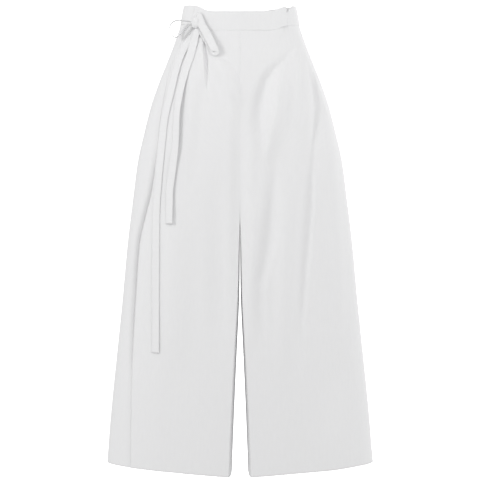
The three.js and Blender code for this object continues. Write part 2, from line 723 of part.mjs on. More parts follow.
addPiece("leg_front_left", sewnPanel(1, "front"));
addPiece("leg_back_left", sewnPanel(1, "back"));
addPiece("leg_front_right", lappingPanel());
addPiece("leg_back_right", lappedPanel());
addPiece("waistband_front", frontBand());
addPiece("waistband_back", backBand());

const knotCutter = knotBall(seamGap);
addPiece("tie_knot", knotBall(0));
addPiece("tie_loop_left", cutClear(bowLoop(leftLoop, 34), knotCutter));
addPiece("tie_loop_right", cutClear(bowLoop(rightLoop, 40), knotCutter));
addPiece("tie_end_short", cutClear(hangingTie(shortEnd, 30), knotCutter));
addPiece("tie_end_long", cutClear(hangingTie(longEnd, 44), knotCutter));

export default garment;
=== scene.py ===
import math
import bpy
import bmesh
import numpy as np
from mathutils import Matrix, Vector


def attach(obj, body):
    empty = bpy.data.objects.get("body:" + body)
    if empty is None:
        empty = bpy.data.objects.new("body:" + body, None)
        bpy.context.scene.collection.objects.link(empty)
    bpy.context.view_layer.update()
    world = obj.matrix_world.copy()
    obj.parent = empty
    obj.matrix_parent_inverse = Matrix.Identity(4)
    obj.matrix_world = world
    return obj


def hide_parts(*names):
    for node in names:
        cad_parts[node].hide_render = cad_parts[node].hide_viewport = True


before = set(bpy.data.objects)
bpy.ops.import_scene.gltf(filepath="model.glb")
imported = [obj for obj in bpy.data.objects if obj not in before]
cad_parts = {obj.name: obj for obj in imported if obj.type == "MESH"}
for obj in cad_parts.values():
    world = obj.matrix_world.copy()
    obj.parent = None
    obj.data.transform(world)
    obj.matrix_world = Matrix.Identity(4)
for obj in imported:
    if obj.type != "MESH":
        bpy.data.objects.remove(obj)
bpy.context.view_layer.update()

# Wrap trousers as worn: each sheet is made from the same sections as its solid, at finer steps
mm = 0.001  # tables are in millimetres, meshes in metres
scene = bpy.context.scene

# Camera: level with the middle of the garment, long lens, 2.2 mm of garment to a pixel
view = {
    "pixels": 480,
    "mmPerPixel": 2.2,
    "topPixel": 7,  # the waist's top edge at the sides
    "topZ": 20,
    "distance": 3.8,
    "sensor": 36,
    "clipEnd": 60,
}


def makeCamera():
    frameWidth = view["pixels"] * view["mmPerPixel"] * mm
    middle = view["pixels"] / 2
    height = (view["topZ"] - (middle - view["topPixel"]) * view["mmPerPixel"]) * mm
    data = bpy.data.cameras.new("cameraFront")
    data.sensor_width = view["sensor"]
    data.lens = view["sensor"] * view["distance"] / frameWidth
    data.clip_end = view["clipEnd"]
    camera = bpy.data.objects.new("cameraFront", data)
    camera.location = (0, -view["distance"], height)
    camera.rotation_euler = (math.radians(90), 0, 0)
    scene.collection.objects.link(camera)
    scene.camera = camera


makeCamera()


# Body of the garment, as in the solids: half widths and depths down the body
outline = {
    "z": [20, -22, -60, -100, -150, -200, -255, -320, -400, -500, -620, -750, -880, -1000],
    "side": [123, 131, 143.5, 159, 179, 196, 210, 224.5, 235, 247, 258, 271, 283, 292],
    "front": [87, 90, 96, 102, 108, 112, 114, 114, 112, 110, 109, 110, 112, 114],
    "back": [86, 90, 100, 111, 121, 126, 127, 123, 118, 114, 112, 112, 114, 116],
}
between = {  # the thighs press together down to z -446
    "z": [-180, -230, -320, -400, -446, -480, -520, -590, -650, -712, -844, -1000],
    "inner": [0.04, -0.2, -0.25, -0.25, -0.2, 0.3, 0.6, 1.2, 3, 6, 12, 18],
    "corner": [0, 0.15, 0.15, 0.3, 0.5, 1.6, 3, 4, 5, 6, 7, 8],
}
levels = {
    "bandFoot": -22,
    "bandHeight": 42,
    "crotch": -320,
    "crotchTop": {"front": -210, "back": -180},
    "inseamY": 5,
    "hem": -1000,
    "waistBlend": 120,
    "hemBlend": 320,
    "hemRise": 21,
    "hemRiseStart": 18,
    "hemRiseSpan": 272,
    "power": 0.9,
}
bandTop = {
    "turn": [0, 0.36, 0.62, 1, 1.4, 2, 2.6, 3, 3.38, 3.64, 4],
    "z": [0, 1, 14, 21, 25, 18, 20, 21, 16, 1, 0],
}
wrapEdge = {
    "z": [-22, -60, -110, -170, -245, -319, -388, -442, -500, -622, -719, -850, -1000],
    "x": [101, 124, 145, 161, 174, 181, 191, 204, 217, 226, 231, 234, 235],
    "lift": [2.6, 2.8, 3, 3.2, 3.6, 3.8, 4, 4, 4, 3.6, 3.2, 3, 3],
}
wrap = {"under": 46, "span": 58, "underGap": 2.4, "settleFrom": 58, "settleTo": 98, "freeBelow": 24}
sunken = {  # the underlap falls away beside the free edge
    "z": [-290, -364, -420, -535, -640, -740, -810],
    "deep": [0, 5, 8, 8.5, 6.5, 3.5, 0],
    "aside": [12, 14, 17, 18, 16, 13, 10],
}

# Folds: top (x0, z0), end (x1, z1), sideways bow, height out (in where negative), and widths towards
# the side and the middle
folds = {
    ("left", "front"): {
        "dragLine": (118, -66, 50, -300, -32, -7, 20, 28),
        "hipRidge": (94, -105, 56, -350, 2, 8, 34, 24),
        "pleat": (146, -85, 152, -420, 18, -5, 22, 24),
        "innerRidge": (50, -330, 22, -760, -8, 6, 30, 24),
        "middleRidge": (118, -260, 100, -850, -10, 9, 42, 34),
        "sideFlute": (176, -170, 196, -860, 22, 5, 34, 56),
    },
    ("left", "back"): {
        "seatDrag": (118, -80, 44, -250, -20, -6, 24, 24),
        "backRidge": (92, -190, 78, -800, 8, 9, 46, 40),
        "backSide": (170, -210, 198, -880, 10, 8, 36, 44),
        "backInner": (30, -400, 40, -860, -4, 5, 36, 26),
    },
    ("right", "front"): {
        "dragLine": (58, -90, 7, -232, -9, 6, 30, 22),
        "knotRidge": (98, -80, 122, -380, -4, 4, 24, 26),
        "hipHollow": (160, -150, 196, -560, 2, -4, 26, 34),
        "thighRidge": (122, -330, 150, -860, 6, 6, 44, 60),
        "wrapValley": (178, -300, 234, -860, 20, -4, 26, 30),
        "innerHollow": (52, -300, 46, -820, -6, -5, 40, 34),
    },
    ("right", "back"): {
        "seatDrag": (120, -76, 40, -236, -16, -6, 22, 26),
        "backRidge": (84, -170, 96, -860, -10, 8, 44, 42),
        "backSide": (160, -240, 206, -820, 6, 9, 34, 46),
        "backInner": (36, -430, 34, -900, 4, 4, 34, 24),
    },
}
# Creases over both legs: down the body, place from the centre seam (the image's right is plus in
# front), height out, and how far it spreads towards minus and towards plus
creases = {
    "front": {
        "tuck": {
            "z": [-30, -60, -88, -130, -165, -185],
            "x": [-80, -79, -77, -76, -75, -72],
            "height": [1, 4.6, 6.4, 5.4, 1.4, 0],
            "minus": [26, 28, 28, 26, 20, 16],
            "plus": [5, 5, 5, 5, 6, 10],
        },
        "tuckSlit": {
            "z": [-40, -62, -88, -130, -158, -175],
            "x": [-74.5, -73.5, -71.8, -70.8, -70.4, -69],
            "height": [0, -4, -5, -4, -2, 0],
            "minus": [3.4, 3.8, 3.8, 3.8, 4, 5],
            "plus": [3.6, 3.8, 4, 4.4, 6, 9],
        },
        "knotRidge": {
            "z": [-50, -82, -105, -150, -205, -245],
            "x": [-74, -66, -38, -14, -5, -4],
            "height": [0, 3.5, 5, 5.5, 4, 0],
            "minus": [20, 30, 36, 32, 26, 22],
            "plus": [12, 14, 16, 16, 18, 20],
        },
        "dragTrough": {
            "z": [-62, -100, -150, -204, -279, -340],
            "x": [128, 97, 57, 48, 50, 53],
            "height": [0, -2.2, -2.6, -2.4, -1.6, 0],
            "minus": [22, 26, 28, 26, 20, 18],
            "plus": [14, 12, 10, 8, 8, 10],
        },
        "pointedRidge": {
            "z": [-105, -150, -214, -279, -335],
            "x": [88, 84, 77, 61, 55],
            "height": [0, 2.6, 3.6, 3, 0],
            "minus": [12, 12, 11, 9, 8],
            "plus": [22, 24, 24, 20, 14],
        },
        "pleatEdge": {
            "z": [-70, -96, -150, -210, -260],
            "x": [126, 127, 125, 124, 122],
            "height": [0, 2.6, 3, 2, 0],
            "minus": [24, 26, 28, 28, 28],
            "plus": [6, 6, 8, 12, 18],
        },
        "pleatTrough": {
            "z": [-80, -150, -210, -300, -400, -500, -600, -700, -790],
            "x": [144, 160, 168, 158, 154, 147, 138, 130, 128],
            "height": [0, -3, -4.4, -6, -7, -7, -5.4, -3, 0],
            "minus": [16, 24, 36, 44, 46, 42, 34, 26, 20],
            "plus": [12, 11, 11, 12, 12, 13, 13, 13, 13],
        },
        "hipWedge": {
            "z": [-75, -110, -150, -200, -230],
            "x": [140, 152, 166, 182, 190],
            "height": [0, 2, 2.6, 2, 0],
            "minus": [10, 12, 14, 14, 14],
            "plus": [8, 8, 9, 10, 12],
        },
        "foldATrough": {
            "z": [-270, -330, -400, -470, -540, -600, -680, -740],
            "x": [79, 75, 72, 69, 56, 42, 46, 52],
            "height": [0, -3, -4.6, -5, -4.6, -4, -2.6, 0],
            "minus": [20, 24, 28, 30, 28, 24, 22, 20],
            "plus": [14, 16, 18, 18, 18, 18, 18, 16],
        },
        "crotchRidge": {
            "z": [-270, -320, -380, -450, -520, -570],
            "x": [27, 26, 26, 25, 25, 24],
            "height": [0, 1.6, 2.4, 2.4, 1.6, 0],
            "minus": [16, 18, 20, 20, 18, 16],
            "plus": [12, 12, 14, 14, 14, 12],
        },
        "thighLight": {
            "z": [-440, -520, -600, -690, -780],
            "x": [-150, -148, -146, -142, -140],
            "height": [0, 2.4, 3, 2.4, 0],
            "minus": [22, 24, 26, 26, 24],
            "plus": [40, 44, 48, 48, 44],
        },
        "hemTurn": {
            "z": [-800, -880, -950, -1000],
            "x": [214, 206, 198, 196],
            "height": [0, 4, 8, 9],
            "minus": [60, 66, 70, 70],
            "plus": [44, 60, 72, 76],
        },
        "hipSoft": {
            "z": [-90, -130, -180, -240],
            "x": [-150, -158, -166, -176],
            "height": [0, -1.6, -2, 0],
            "minus": [14, 16, 18, 16],
            "plus": [10, 12, 12, 12],
        },
    },
    "back": {
        "seatTrough": {
            "z": [-64, -110, -165, -225, -290],
            "x": [110, 82, 55, 42, 38],
            "height": [0, -3, -4, -3, 0],
            "minus": [20, 24, 26, 24, 20],
            "plus": [14, 12, 11, 12, 14],
        },
        "seatTroughRight": {
            "z": [-70, -120, -175, -240, -310],
            "x": [-104, -84, -60, -44, -40],
            "height": [0, -2.6, -3.6, -3, 0],
            "minus": [13, 12, 12, 12, 14],
            "plus": [20, 24, 26, 24, 20],
        },
        "sideFold": {
            "z": [-90, -180, -300, -430, -560, -690],
            "x": [138, 150, 158, 156, 150, 146],
            "height": [0, 2.6, 3.4, 3.2, 2.4, 0],
            "minus": [18, 20, 24, 26, 26, 22],
            "plus": [10, 12, 14, 16, 18, 20],
        },
        "sideFoldRight": {
            "z": [-110, -200, -320, -460, -600, -720],
            "x": [-132, -142, -148, -150, -144, -140],
            "height": [0, 2.2, 3, 3.4, 2.4, 0],
            "minus": [12, 14, 16, 18, 20, 18],
            "plus": [20, 22, 26, 28, 26, 22],
        },
        "calfTrough": {
            "z": [-420, -520, -640, -760, -850],
            "x": [62, 66, 72, 76, 78],
            "height": [0, -2.4, -3.2, -2.4, 0],
            "minus": [20, 22, 24, 24, 22],
            "plus": [16, 18, 20, 20, 18],
        },
        "calfTroughRight": {
            "z": [-380, -480, -600, -740, -830],
            "x": [-56, -60, -68, -70, -72],
            "height": [0, -2.2, -3, -2.4, 0],
            "minus": [16, 18, 18, 20, 18],
            "plus": [20, 22, 26, 24, 22],
        },
    },
}
valley = {  # soft hollow at the centre front and back, over the touching thighs
    "z": [-190, -250, -320, -420, -500, -600, -700],
    "front": [0, 3.5, 5.5, 5.5, 5, 3, 0],
    "back": [0, 3.5, 6, 5, 4, 2.5, 0],
    "span": [20, 24, 28, 28, 26, 22, 20],
}
foldEase = {"in": 0.3, "out": 0.55, "seamCalm": 26, "legsPart": [170, 250]}


def smooth(value, low, high):
    t = np.clip((value - low) / (high - low), 0, 1)
    return t * t * (3 - 2 * t)


def bell(off, width):  # 1 in the middle, 0 from the width on
    return 0.5 * (1 + np.cos(np.pi * np.clip(off / width, -1, 1)))


def curve(table, column, key="z"):  # smooth curve through a table's column that never overshoots
    xs = np.array(table[key], float)
    ys = np.array(table[column], float)
    if xs[0] > xs[-1]:
        xs, ys = xs[::-1], ys[::-1]
    steps = np.diff(xs)
    slopes = np.diff(ys) / steps
    tangents = np.empty_like(ys)
    tangents[0], tangents[-1] = slopes[0], slopes[-1]
    before, after = slopes[:-1], slopes[1:]
    same = before * after > 0
    total = np.where(same, before + after, 1)
    tangents[1:-1] = np.where(same, 2 * before * after / total, 0)

    def value(at):
        at = np.clip(at, xs[0], xs[-1])
        i = np.clip(np.searchsorted(xs, at) - 1, 0, len(xs) - 2)
        t = (at - xs[i]) / steps[i]
        rise = 1 - 3 * t * t + 2 * t * t * t
        bend = t * (1 - t) * (1 - t) * tangents[i] - t * t * (1 - t) * tangents[i + 1]
        return ys[i] * rise + ys[i + 1] * (1 - rise) + steps[i] * bend

    return value


def curvesOf(table):
    return {column: curve(table, column) for column in table if column != "z"}


shape = {
    "side": curve(outline, "side"),
    "front": curve(outline, "front"),
    "back": curve(outline, "back"),
    "inner": curve(between, "inner"),
    "corner": curve(between, "corner"),
    "top": curve(bandTop, "z", "turn"),
    "wrapX": curve(wrapEdge, "x"),
    "wrapLift": curve(wrapEdge, "lift"),
}
sectionCache = {}
creaseCurves = {
    half: [curvesOf(table) | {"ends": table["z"]} for table in tables.values()]
    for half, tables in creases.items()
}
valleyCurves = curvesOf(valley)
sunkenCurves = curvesOf(sunken)
arcPoints = 181  # of each arc of a section


def seamDepth(half, z, depth):
    end = -levels["inseamY"] if half == "front" else levels["inseamY"]
    top = levels["crotchTop"][half]
    down = min(max((top - z) / (top - levels["crotch"]), 0), 1)
    return end + (depth - end) * math.sqrt(1 - down * down)


def foldHeight(leg, half, z, along, alongAtX, length):
    height = np.zeros_like(along)
    for x0, z0, x1, z1, bow, tall, outWidth, inWidth in folds[(leg, half)].values():
        if z > z0 or z < z1:
            continue
        t = (z - z0) / (z1 - z0)
        x = x0 + (x1 - x0) * t + 4 * bow * t * (1 - t)
        off = along - alongAtX(x)
        width = np.where(off < 0, outWidth, inWidth)
        fade = smooth(t, 0, foldEase["in"]) * (1 - smooth(t, foldEase["out"], 1))
        height += tall * fade * bell(off, width)
    calm = smooth(along, 0, foldEase["seamCalm"]) * smooth(length - along, 0, foldEase["seamCalm"])
    return height * calm


def creaseHeight(leg, half, z, along, alongAtX, length):  # place counted out from the centre seam
    place = (length - along) * (1 if leg == "left" else -1)
    height = np.zeros_like(along)
    for made in creaseCurves[half]:
        if z > made["ends"][0] or z < made["ends"][-1]:
            continue
        x = float(made["x"](z))
        middle = math.copysign(length - alongAtX(abs(x)), x)
        off = place - middle
        width = np.where(off < 0, float(made["minus"](z)), float(made["plus"](z)))
        height += float(made["height"](z)) * bell(off, width)
    calm = smooth(along, 0, foldEase["seamCalm"])
    split = smooth(-z, *foldEase["legsPart"])  # from there down the two legs crease apart
    return height * calm * (1 - split * (1 - smooth(length - along, 0, foldEase["seamCalm"])))


def halfSection(leg, half, z):  # one level of a half: x from the middle, q towards its own side
    key = (leg, half, round(z, 3))
    if key in sectionCache:
        return sectionCache[key]
    side, depth = float(shape["side"](z)), float(shape[half](z))
    inner = float(shape["inner"](z))
    corner = 0 if z > levels["crotchTop"][half] else float(shape["corner"](z))
    seam = seamDepth(half, z, depth)
    crest = inner + corner
    angle = np.linspace(0, np.pi / 2, arcPoints)
    cosine, sine = np.maximum(np.cos(angle), 0) ** levels["power"], np.sin(angle) ** levels["power"]
    x = crest + (side - crest) * cosine
    q = depth * sine
    if corner > 0:
        x = np.append(x, crest - corner * sine[1:])
        q = np.append(q, seam + (depth - seam) * cosine[1:])
    along = np.append(0, np.cumsum(np.hypot(np.diff(x), np.diff(q))))
    length = along[-1]
    outerX, outerAlong = x[:arcPoints], along[:arcPoints]

    def alongAtX(at):
        return float(np.interp(-at, -outerX, outerAlong))

    dx, dq = np.gradient(x), np.gradient(q)
    run = np.maximum(np.hypot(dx, dq), 1e-9)
    nx, nq = dq / run, -dx / run
    height = foldHeight(leg, half, z, along, alongAtX, length)
    height = height + creaseHeight(leg, half, z, along, alongAtX, length)
    hollow = float(valleyCurves[half](z)) / depth if valley["z"][-1] < z < valley["z"][0] else 0
    q = q * (1 - hollow * bell(np.maximum(x - crest, 0), float(valleyCurves["span"](z))))
    made = {
        "along": along,
        "length": length,
        "x": x + nx * height,
        "q": q + nq * height,
        "nx": nx,
        "nq": nq,
        "alongAtX": alongAtX,
        "crest": outerAlong[-1],
    }
    sectionCache[key] = made
    return made


def topEdge(turn):
    return shape["top"](np.mod(turn, 4))


def signsOf(leg, half):
    return 1 if leg == "left" else -1, -1 if half == "front" else 1


def clothRow(leg, half, along, z, lift=0):  # points and level ways out for places along a section
    section = halfSection(leg, half, z)
    along = np.clip(along, 0, section["length"])
    sign, way = signsOf(leg, half)
    x, q, nx, nq = (np.interp(along, section["along"], section[k]) for k in ("x", "q", "nx", "nq"))
    size = np.hypot(nx, nq)
    out = np.stack([nx / size * sign, nq / size * way, np.zeros_like(nx)], axis=-1)
    share = along / section["length"]
    quarter = 1 - share if half == "front" else 1 + share
    turn = quarter if leg == "left" else 4 - quarter
    atWaist = 1 - smooth(levels["bandFoot"] - z, 0, levels["waistBlend"])
    atHem = 1 - smooth(z - levels["hem"], 0, levels["hemBlend"])
    waistShift = topEdge(turn) - levels["bandHeight"] - levels["bandFoot"]
    hemShift = levels["hemRise"] * np.clip((x - levels["hemRiseStart"]) / levels["hemRiseSpan"], 0, 1)
    point = np.stack([x * sign, q * way, z + waistShift * atWaist + hemShift * atHem], axis=-1)
    return point + out * np.reshape(lift, (-1, 1)), out


def wrapLift(z, fromEdge):  # how far the lapping panel stands out, by distance in from its edge
    standing = (shape["wrapLift"](z) - wrap["underGap"]) * (1 - smooth(fromEdge, 0, wrap["span"]))
    return standing + wrap["underGap"] * (1 - smooth(fromEdge, wrap["settleFrom"], wrap["settleTo"]))


# Meshes from grids of points
def addObject(name, mesh):
    made = bpy.data.objects.new(name, mesh)
    scene.collection.objects.link(made)
    return made


def shadeSmooth(mesh):
    mesh.polygons.foreach_set("use_smooth", np.ones(len(mesh.polygons), bool))


def gridMesh(name, points, uvs, outs, closedRows=False, closedColumns=False):
    rows, columns = points.shape[:2]
    mesh = bpy.data.meshes.new(name)
    faces = []
    for r in range(rows if closedRows else rows - 1):
        here, below = r * columns, (r + 1) % rows * columns
        for c in range(columns if closedColumns else columns - 1):
            across = (c + 1) % columns
            faces.append((here + c, below + c, below + across, here + across))
    mesh.from_pydata([tuple(p) for p in points.reshape(-1, 3) * mm], [], faces)
    flatUvs = uvs.reshape(-1, 2) * mm
    layer = mesh.uv_layers.new(name="cloth")
    index = np.empty(len(mesh.loops), int)
    mesh.loops.foreach_get("vertex_index", index)
    layer.data.foreach_set("uv", flatUvs[index].astype(np.float32).ravel())
    mesh.update()
    normals = np.empty(len(mesh.polygons) * 3)
    mesh.polygons.foreach_get("normal", normals)
    faceOuts = outs.reshape(-1, 3)[[f[0] for f in faces]]
    if (normals.reshape(-1, 3) * faceOuts).sum() < 0:
        mesh.flip_normals()
    shadeSmooth(mesh)
    return mesh


def closedMesh(name, rings, uvs, outs):  # rings one after the other, with both ends filled
    points, ways = (np.array(rows).transpose(1, 0, 2) for rows in (rings, outs))
    mesh = gridMesh(name, points, uvs, ways, closedRows=True)
    work = bmesh.new()
    work.from_mesh(mesh)
    caps = bmesh.ops.holes_fill(work, edges=[e for e in work.edges if e.is_boundary], sides=0)
    bmesh.ops.triangulate(work, faces=caps["faces"])
    bmesh.ops.recalc_face_normals(work, faces=work.faces)
    work.to_mesh(mesh)
    work.free()
    return addObject(name, mesh)


def applyModifier(piece, modifier):  # what it makes becomes the piece's own plain mesh
    graph = bpy.context.evaluated_depsgraph_get()
    plain = bpy.data.meshes.new_from_object(piece.evaluated_get(graph))
    piece.modifiers.remove(modifier)
    piece.data = plain
    shadeSmooth(plain)


def thicken(piece, thickness):
    modifier = piece.modifiers.new("clothWall", "SOLIDIFY")
    modifier.thickness = thickness * mm
    modifier.offset = -1
    modifier.use_even_offset = False
    applyModifier(piece, modifier)


# Cloth finish
clothFinish = {
    "colour": (0.86, 0.86, 0.865),
    "roughness": 0.88,
    "sheen": 0.12,
    "specular": 0.25,
    "threadsPerMetre": 1500,
    "threadWaver": 0.6,
    "weaveDepth": 0.00004,
    "slubDepth": 0.00014,
    "slubsPerMetre": (900, 60),  # across the thicker threads and along them
    "mottle": 0.007,
    "mottlePerMetre": (180, 40),
    "mottleRange": (0.3, 0.7),
}


def clothMaterial(name, finish):
    material = bpy.data.materials.new(name)
    material.use_nodes = True
    nodes, links = material.node_tree.nodes, material.node_tree.links
    shader = nodes["Principled BSDF"]
    shader.inputs["Roughness"].default_value = finish["roughness"]
    shader.inputs["Sheen Weight"].default_value = finish["sheen"]
    shader.inputs["Specular IOR Level"].default_value = finish["specular"]
    uv = nodes.new("ShaderNodeUVMap")
    uv.uv_map = "cloth"

    def wave(direction):
        made = nodes.new("ShaderNodeTexWave")
        made.wave_type = "BANDS"
        made.bands_direction = direction
        made.inputs["Scale"].default_value = finish["threadsPerMetre"] / (2 * math.pi) * 0.5
        made.inputs["Distortion"].default_value = finish["threadWaver"]
        made.inputs["Detail"].default_value = 1
        links.new(uv.outputs["UV"], made.inputs["Vector"])
        return made.outputs["Fac"]

    def slub(scaleX, scaleY):
        stretch = nodes.new("ShaderNodeMapping")
        stretch.inputs["Scale"].default_value = (scaleX, scaleY, 1)
        links.new(uv.outputs["UV"], stretch.inputs["Vector"])
        made = nodes.new("ShaderNodeTexNoise")
        made.inputs["Scale"].default_value = 1
        made.inputs["Detail"].default_value = 3
        links.new(stretch.outputs["Vector"], made.inputs["Vector"])
        return made.outputs["Fac"]

    def mixed(kind, a, b):
        made = nodes.new("ShaderNodeMath")
        made.operation = kind
        for socket, value in zip(made.inputs, (a, b)):
            if isinstance(value, (int, float)):
                socket.default_value = value
            else:
                links.new(value, socket)
        return made.outputs[0]

    weave = mixed("MAXIMUM", wave("X"), wave("Y"))
    across, along = finish["slubsPerMetre"]
    slubs = mixed("ADD", slub(across, along), slub(along, across))
    bumps = []
    for height, depth in ((weave, finish["weaveDepth"]), (slubs, finish["slubDepth"])):
        bump = nodes.new("ShaderNodeBump")
        bump.inputs["Strength"].default_value = 1
        bump.inputs["Distance"].default_value = depth
        links.new(height, bump.inputs["Height"])
        bumps.append(bump)
    links.new(bumps[0].outputs["Normal"], bumps[1].inputs["Normal"])
    links.new(bumps[1].outputs["Normal"], shader.inputs["Normal"])
    ramp = nodes.new("ShaderNodeValToRGB")
    for element, place, way in zip(ramp.color_ramp.elements, finish["mottleRange"], (-1, 1)):
        element.position = place
        element.color = (*[c + way * finish["mottle"] for c in finish["colour"]], 1)
    links.new(slub(*finish["mottlePerMetre"]), ramp.inputs["Fac"])
    links.new(ramp.outputs["Color"], shader.inputs["Base Color"])
    return material


clothWhite = clothMaterial("clothWhite", clothFinish)
smallFinish = dict(clothFinish, slubDepth=0.00012)
bandWhite = clothMaterial("bandWhite", smallFinish)
tieWhite = clothMaterial("tieWhite", smallFinish)


# Rows of stitches
thread = {
    "spacing": 3.1,
    "length": 2.3,
    "thickness": 0.42,
    "sunk": 0.06,
    "wander": 4,  # degrees either way
    "seed": 7,
    "segments": 8,
    "rings": 6,
    "fromHem": 21,
    "fromSeam": 2,
    "fromEdge": 4,
    "edgeEnds": [6, 3],  # below the waistband and above the hem
    "edgePoints": 240,
    "bandEnds": 0.02,
    "overDip": 0.1,
    "fromTieEdge": 1.9,
    "tieEnds": [22, 2],  # below the knot and above the tip
}


def stitchTree():
    tree = bpy.data.node_groups.new("stitchRow", "GeometryNodeTree")
    face = tree.interface
    face.new_socket("Geometry", in_out="OUTPUT", socket_type="NodeSocketGeometry")
    face.new_socket("Geometry", in_out="INPUT", socket_type="NodeSocketGeometry")
    for name in ("Spacing", "Length", "Thickness", "Wander"):
        face.new_socket(name, in_out="INPUT", socket_type="NodeSocketFloat")
    face.new_socket("Seed", in_out="INPUT", socket_type="NodeSocketInt")
    face.new_socket("Material", in_out="INPUT", socket_type="NodeSocketMaterial")
    nodes, links = tree.nodes, tree.links

    def node(kind, **values):
        made = nodes.new(kind)
        for key, value in values.items():
            setattr(made, key, value)
        return made

    given = node("NodeGroupInput").outputs
    row = node("GeometryNodeMeshToCurve")
    links.new(given["Geometry"], row.inputs["Mesh"])
    spread = node("GeometryNodeResampleCurve", mode="LENGTH")
    links.new(row.outputs["Curve"], spread.inputs["Curve"])
    links.new(given["Spacing"], spread.inputs["Length"])
    bead = node("GeometryNodeMeshUVSphere")
    bead.inputs["Segments"].default_value = thread["segments"]
    bead.inputs["Rings"].default_value = thread["rings"]
    bead.inputs["Radius"].default_value = 0.5
    size = node("ShaderNodeCombineXYZ")
    links.new(given["Thickness"], size.inputs["X"])
    links.new(given["Thickness"], size.inputs["Y"])
    links.new(given["Length"], size.inputs["Z"])
    shaped = node("GeometryNodeTransform")
    links.new(bead.outputs["Mesh"], shaped.inputs["Geometry"])
    links.new(size.outputs["Vector"], shaped.inputs["Scale"])
    along = node("GeometryNodeInputTangent")
    away = node("GeometryNodeInputNamedAttribute", data_type="FLOAT_VECTOR")
    away.inputs["Name"].default_value = "away"
    facing = node("FunctionNodeAxesToRotation", primary_axis="Z", secondary_axis="X")
    links.new(along.outputs["Tangent"], facing.inputs["Primary Axis"])
    links.new(away.outputs["Attribute"], facing.inputs["Secondary Axis"])
    chance = node("FunctionNodeRandomValue", data_type="FLOAT")
    least = node("ShaderNodeMath", operation="MULTIPLY")
    least.inputs[1].default_value = -1
    links.new(given["Wander"], least.inputs[0])
    links.new(least.outputs[0], chance.inputs[2])  # the number's lowest value, then its highest
    links.new(given["Wander"], chance.inputs[3])
    links.new(given["Seed"], chance.inputs["Seed"])
    turned = node("ShaderNodeCombineXYZ")
    links.new(chance.outputs[1], turned.inputs["X"])
    wandering = node("FunctionNodeRotateRotation", rotation_space="LOCAL")
    links.new(facing.outputs["Rotation"], wandering.inputs["Rotation"])
    links.new(turned.outputs["Vector"], wandering.inputs["Rotate By"])
    placed = node("GeometryNodeInstanceOnPoints")
    links.new(spread.outputs["Curve"], placed.inputs["Points"])
    links.new(shaped.outputs["Geometry"], placed.inputs["Instance"])
    links.new(wandering.outputs["Rotation"], placed.inputs["Rotation"])
    real = node("GeometryNodeRealizeInstances")
    links.new(placed.outputs["Instances"], real.inputs["Geometry"])
    painted = node("GeometryNodeSetMaterial")
    links.new(real.outputs["Geometry"], painted.inputs["Geometry"])
    links.new(given["Material"], painted.inputs["Material"])
    links.new(painted.outputs["Geometry"], node("NodeGroupOutput").inputs["Geometry"])
    return tree


def stitchRows(name, rows, material):  # rows are lists of points and ways out, in millimetres
    points, aways, edges = [], [], []
    for rowPoints, rowOuts in rows:
        first = len(points)
        points += [tuple((p - o * thread["sunk"]) * mm) for p, o in zip(rowPoints, rowOuts)]
        aways += [tuple(o) for o in rowOuts]
        edges += [(k, k + 1) for k in range(first, len(points) - 1)]
    mesh = bpy.data.meshes.new(name)
    mesh.from_pydata(points, edges, [])
    away = mesh.attributes.new("away", "FLOAT_VECTOR", "POINT")
    away.data.foreach_set("vector", np.array(aways, np.float32).ravel())
    piece = addObject(name, mesh)
    modifier = piece.modifiers.new("stitches", "NODES")
    modifier.node_group = stitchRow
    sizes = {
        "Spacing": thread["spacing"] * mm,
        "Length": thread["length"] * mm,
        "Thickness": thread["thickness"] * mm,
        "Wander": math.radians(thread["wander"]),
        "Seed": thread["seed"],
        "Material": material,
    }
    for item in stitchRow.interface.items_tree:
        if item.in_out == "INPUT" and item.name in sizes:
            modifier[item.identifier] = sizes[item.name]
    applyModifier(piece, modifier)
    print(name, "faces", len(piece.data.polygons))
    return piece


stitchRow = stitchTree()


def declarePiece(piece, material, node):
    piece.data.materials.clear()
    piece.data.materials.append(material)
    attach(piece, "root")
    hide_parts(node)


# Leg panels
panel = {
    "thickness": 0.9,
    "turningZ": -212,  # the rows get closer from here to the crotch
    "rows": [46, 34, 163],
    "innerZone": 44,
    "innerColumns": 26,
    "innerGrowth": 1.6,
    "innerNarrows": [100, 175],
    "innerLeast": 1.5,
    "crestColumns": [1.5, 0.5, 0.15],
    "edgeColumn": 0.5,
    "tuckX": 75,
    "tuckColumns": [-3, -1.8, -0.7, 0.4, 1.5, 2.6, 3.7, 4.8, 6, 7.4],
    "seamDip": 0.04,
    "seamDipSpan": 1,
    "lapUnder": [[0.45, 0], [1.15, 0.3], [1.3, 1.6], [1.3, 4]],
    "plainEdge": [[0.2, 0], [0.4, 0], [0.6, 0], [0.8, 0]],
    "hemFold": [[0.5, -0.5], [1.3, -0.4], [1.9, 2]],  # inwards and up from the edge
    "hemTuck": 1.9,
    "hemRows": [2, 7],
    "hemUvStep": 2,
    "tuckedIn": 2.6,
    "slitRise": {"before": 0.02, "after": 0.06, "from": 0.2, "depth": 48},
}


def panelLevels():
    upperRows, turningRows, lowerRows = panel["rows"]
    foot, turn, crotch = levels["bandFoot"], panel["turningZ"], levels["crotch"]
    upper = np.append(foot + panel["tuckedIn"], np.linspace(foot - 1, turn, upperRows))
    turning = turn + (crotch - turn) * np.sin(np.linspace(0, math.pi / 2, turningRows))
    lower = np.linspace(crotch, levels["hem"], lowerRows)
    return np.concatenate([upper[:-1], turning[:-1], lower])


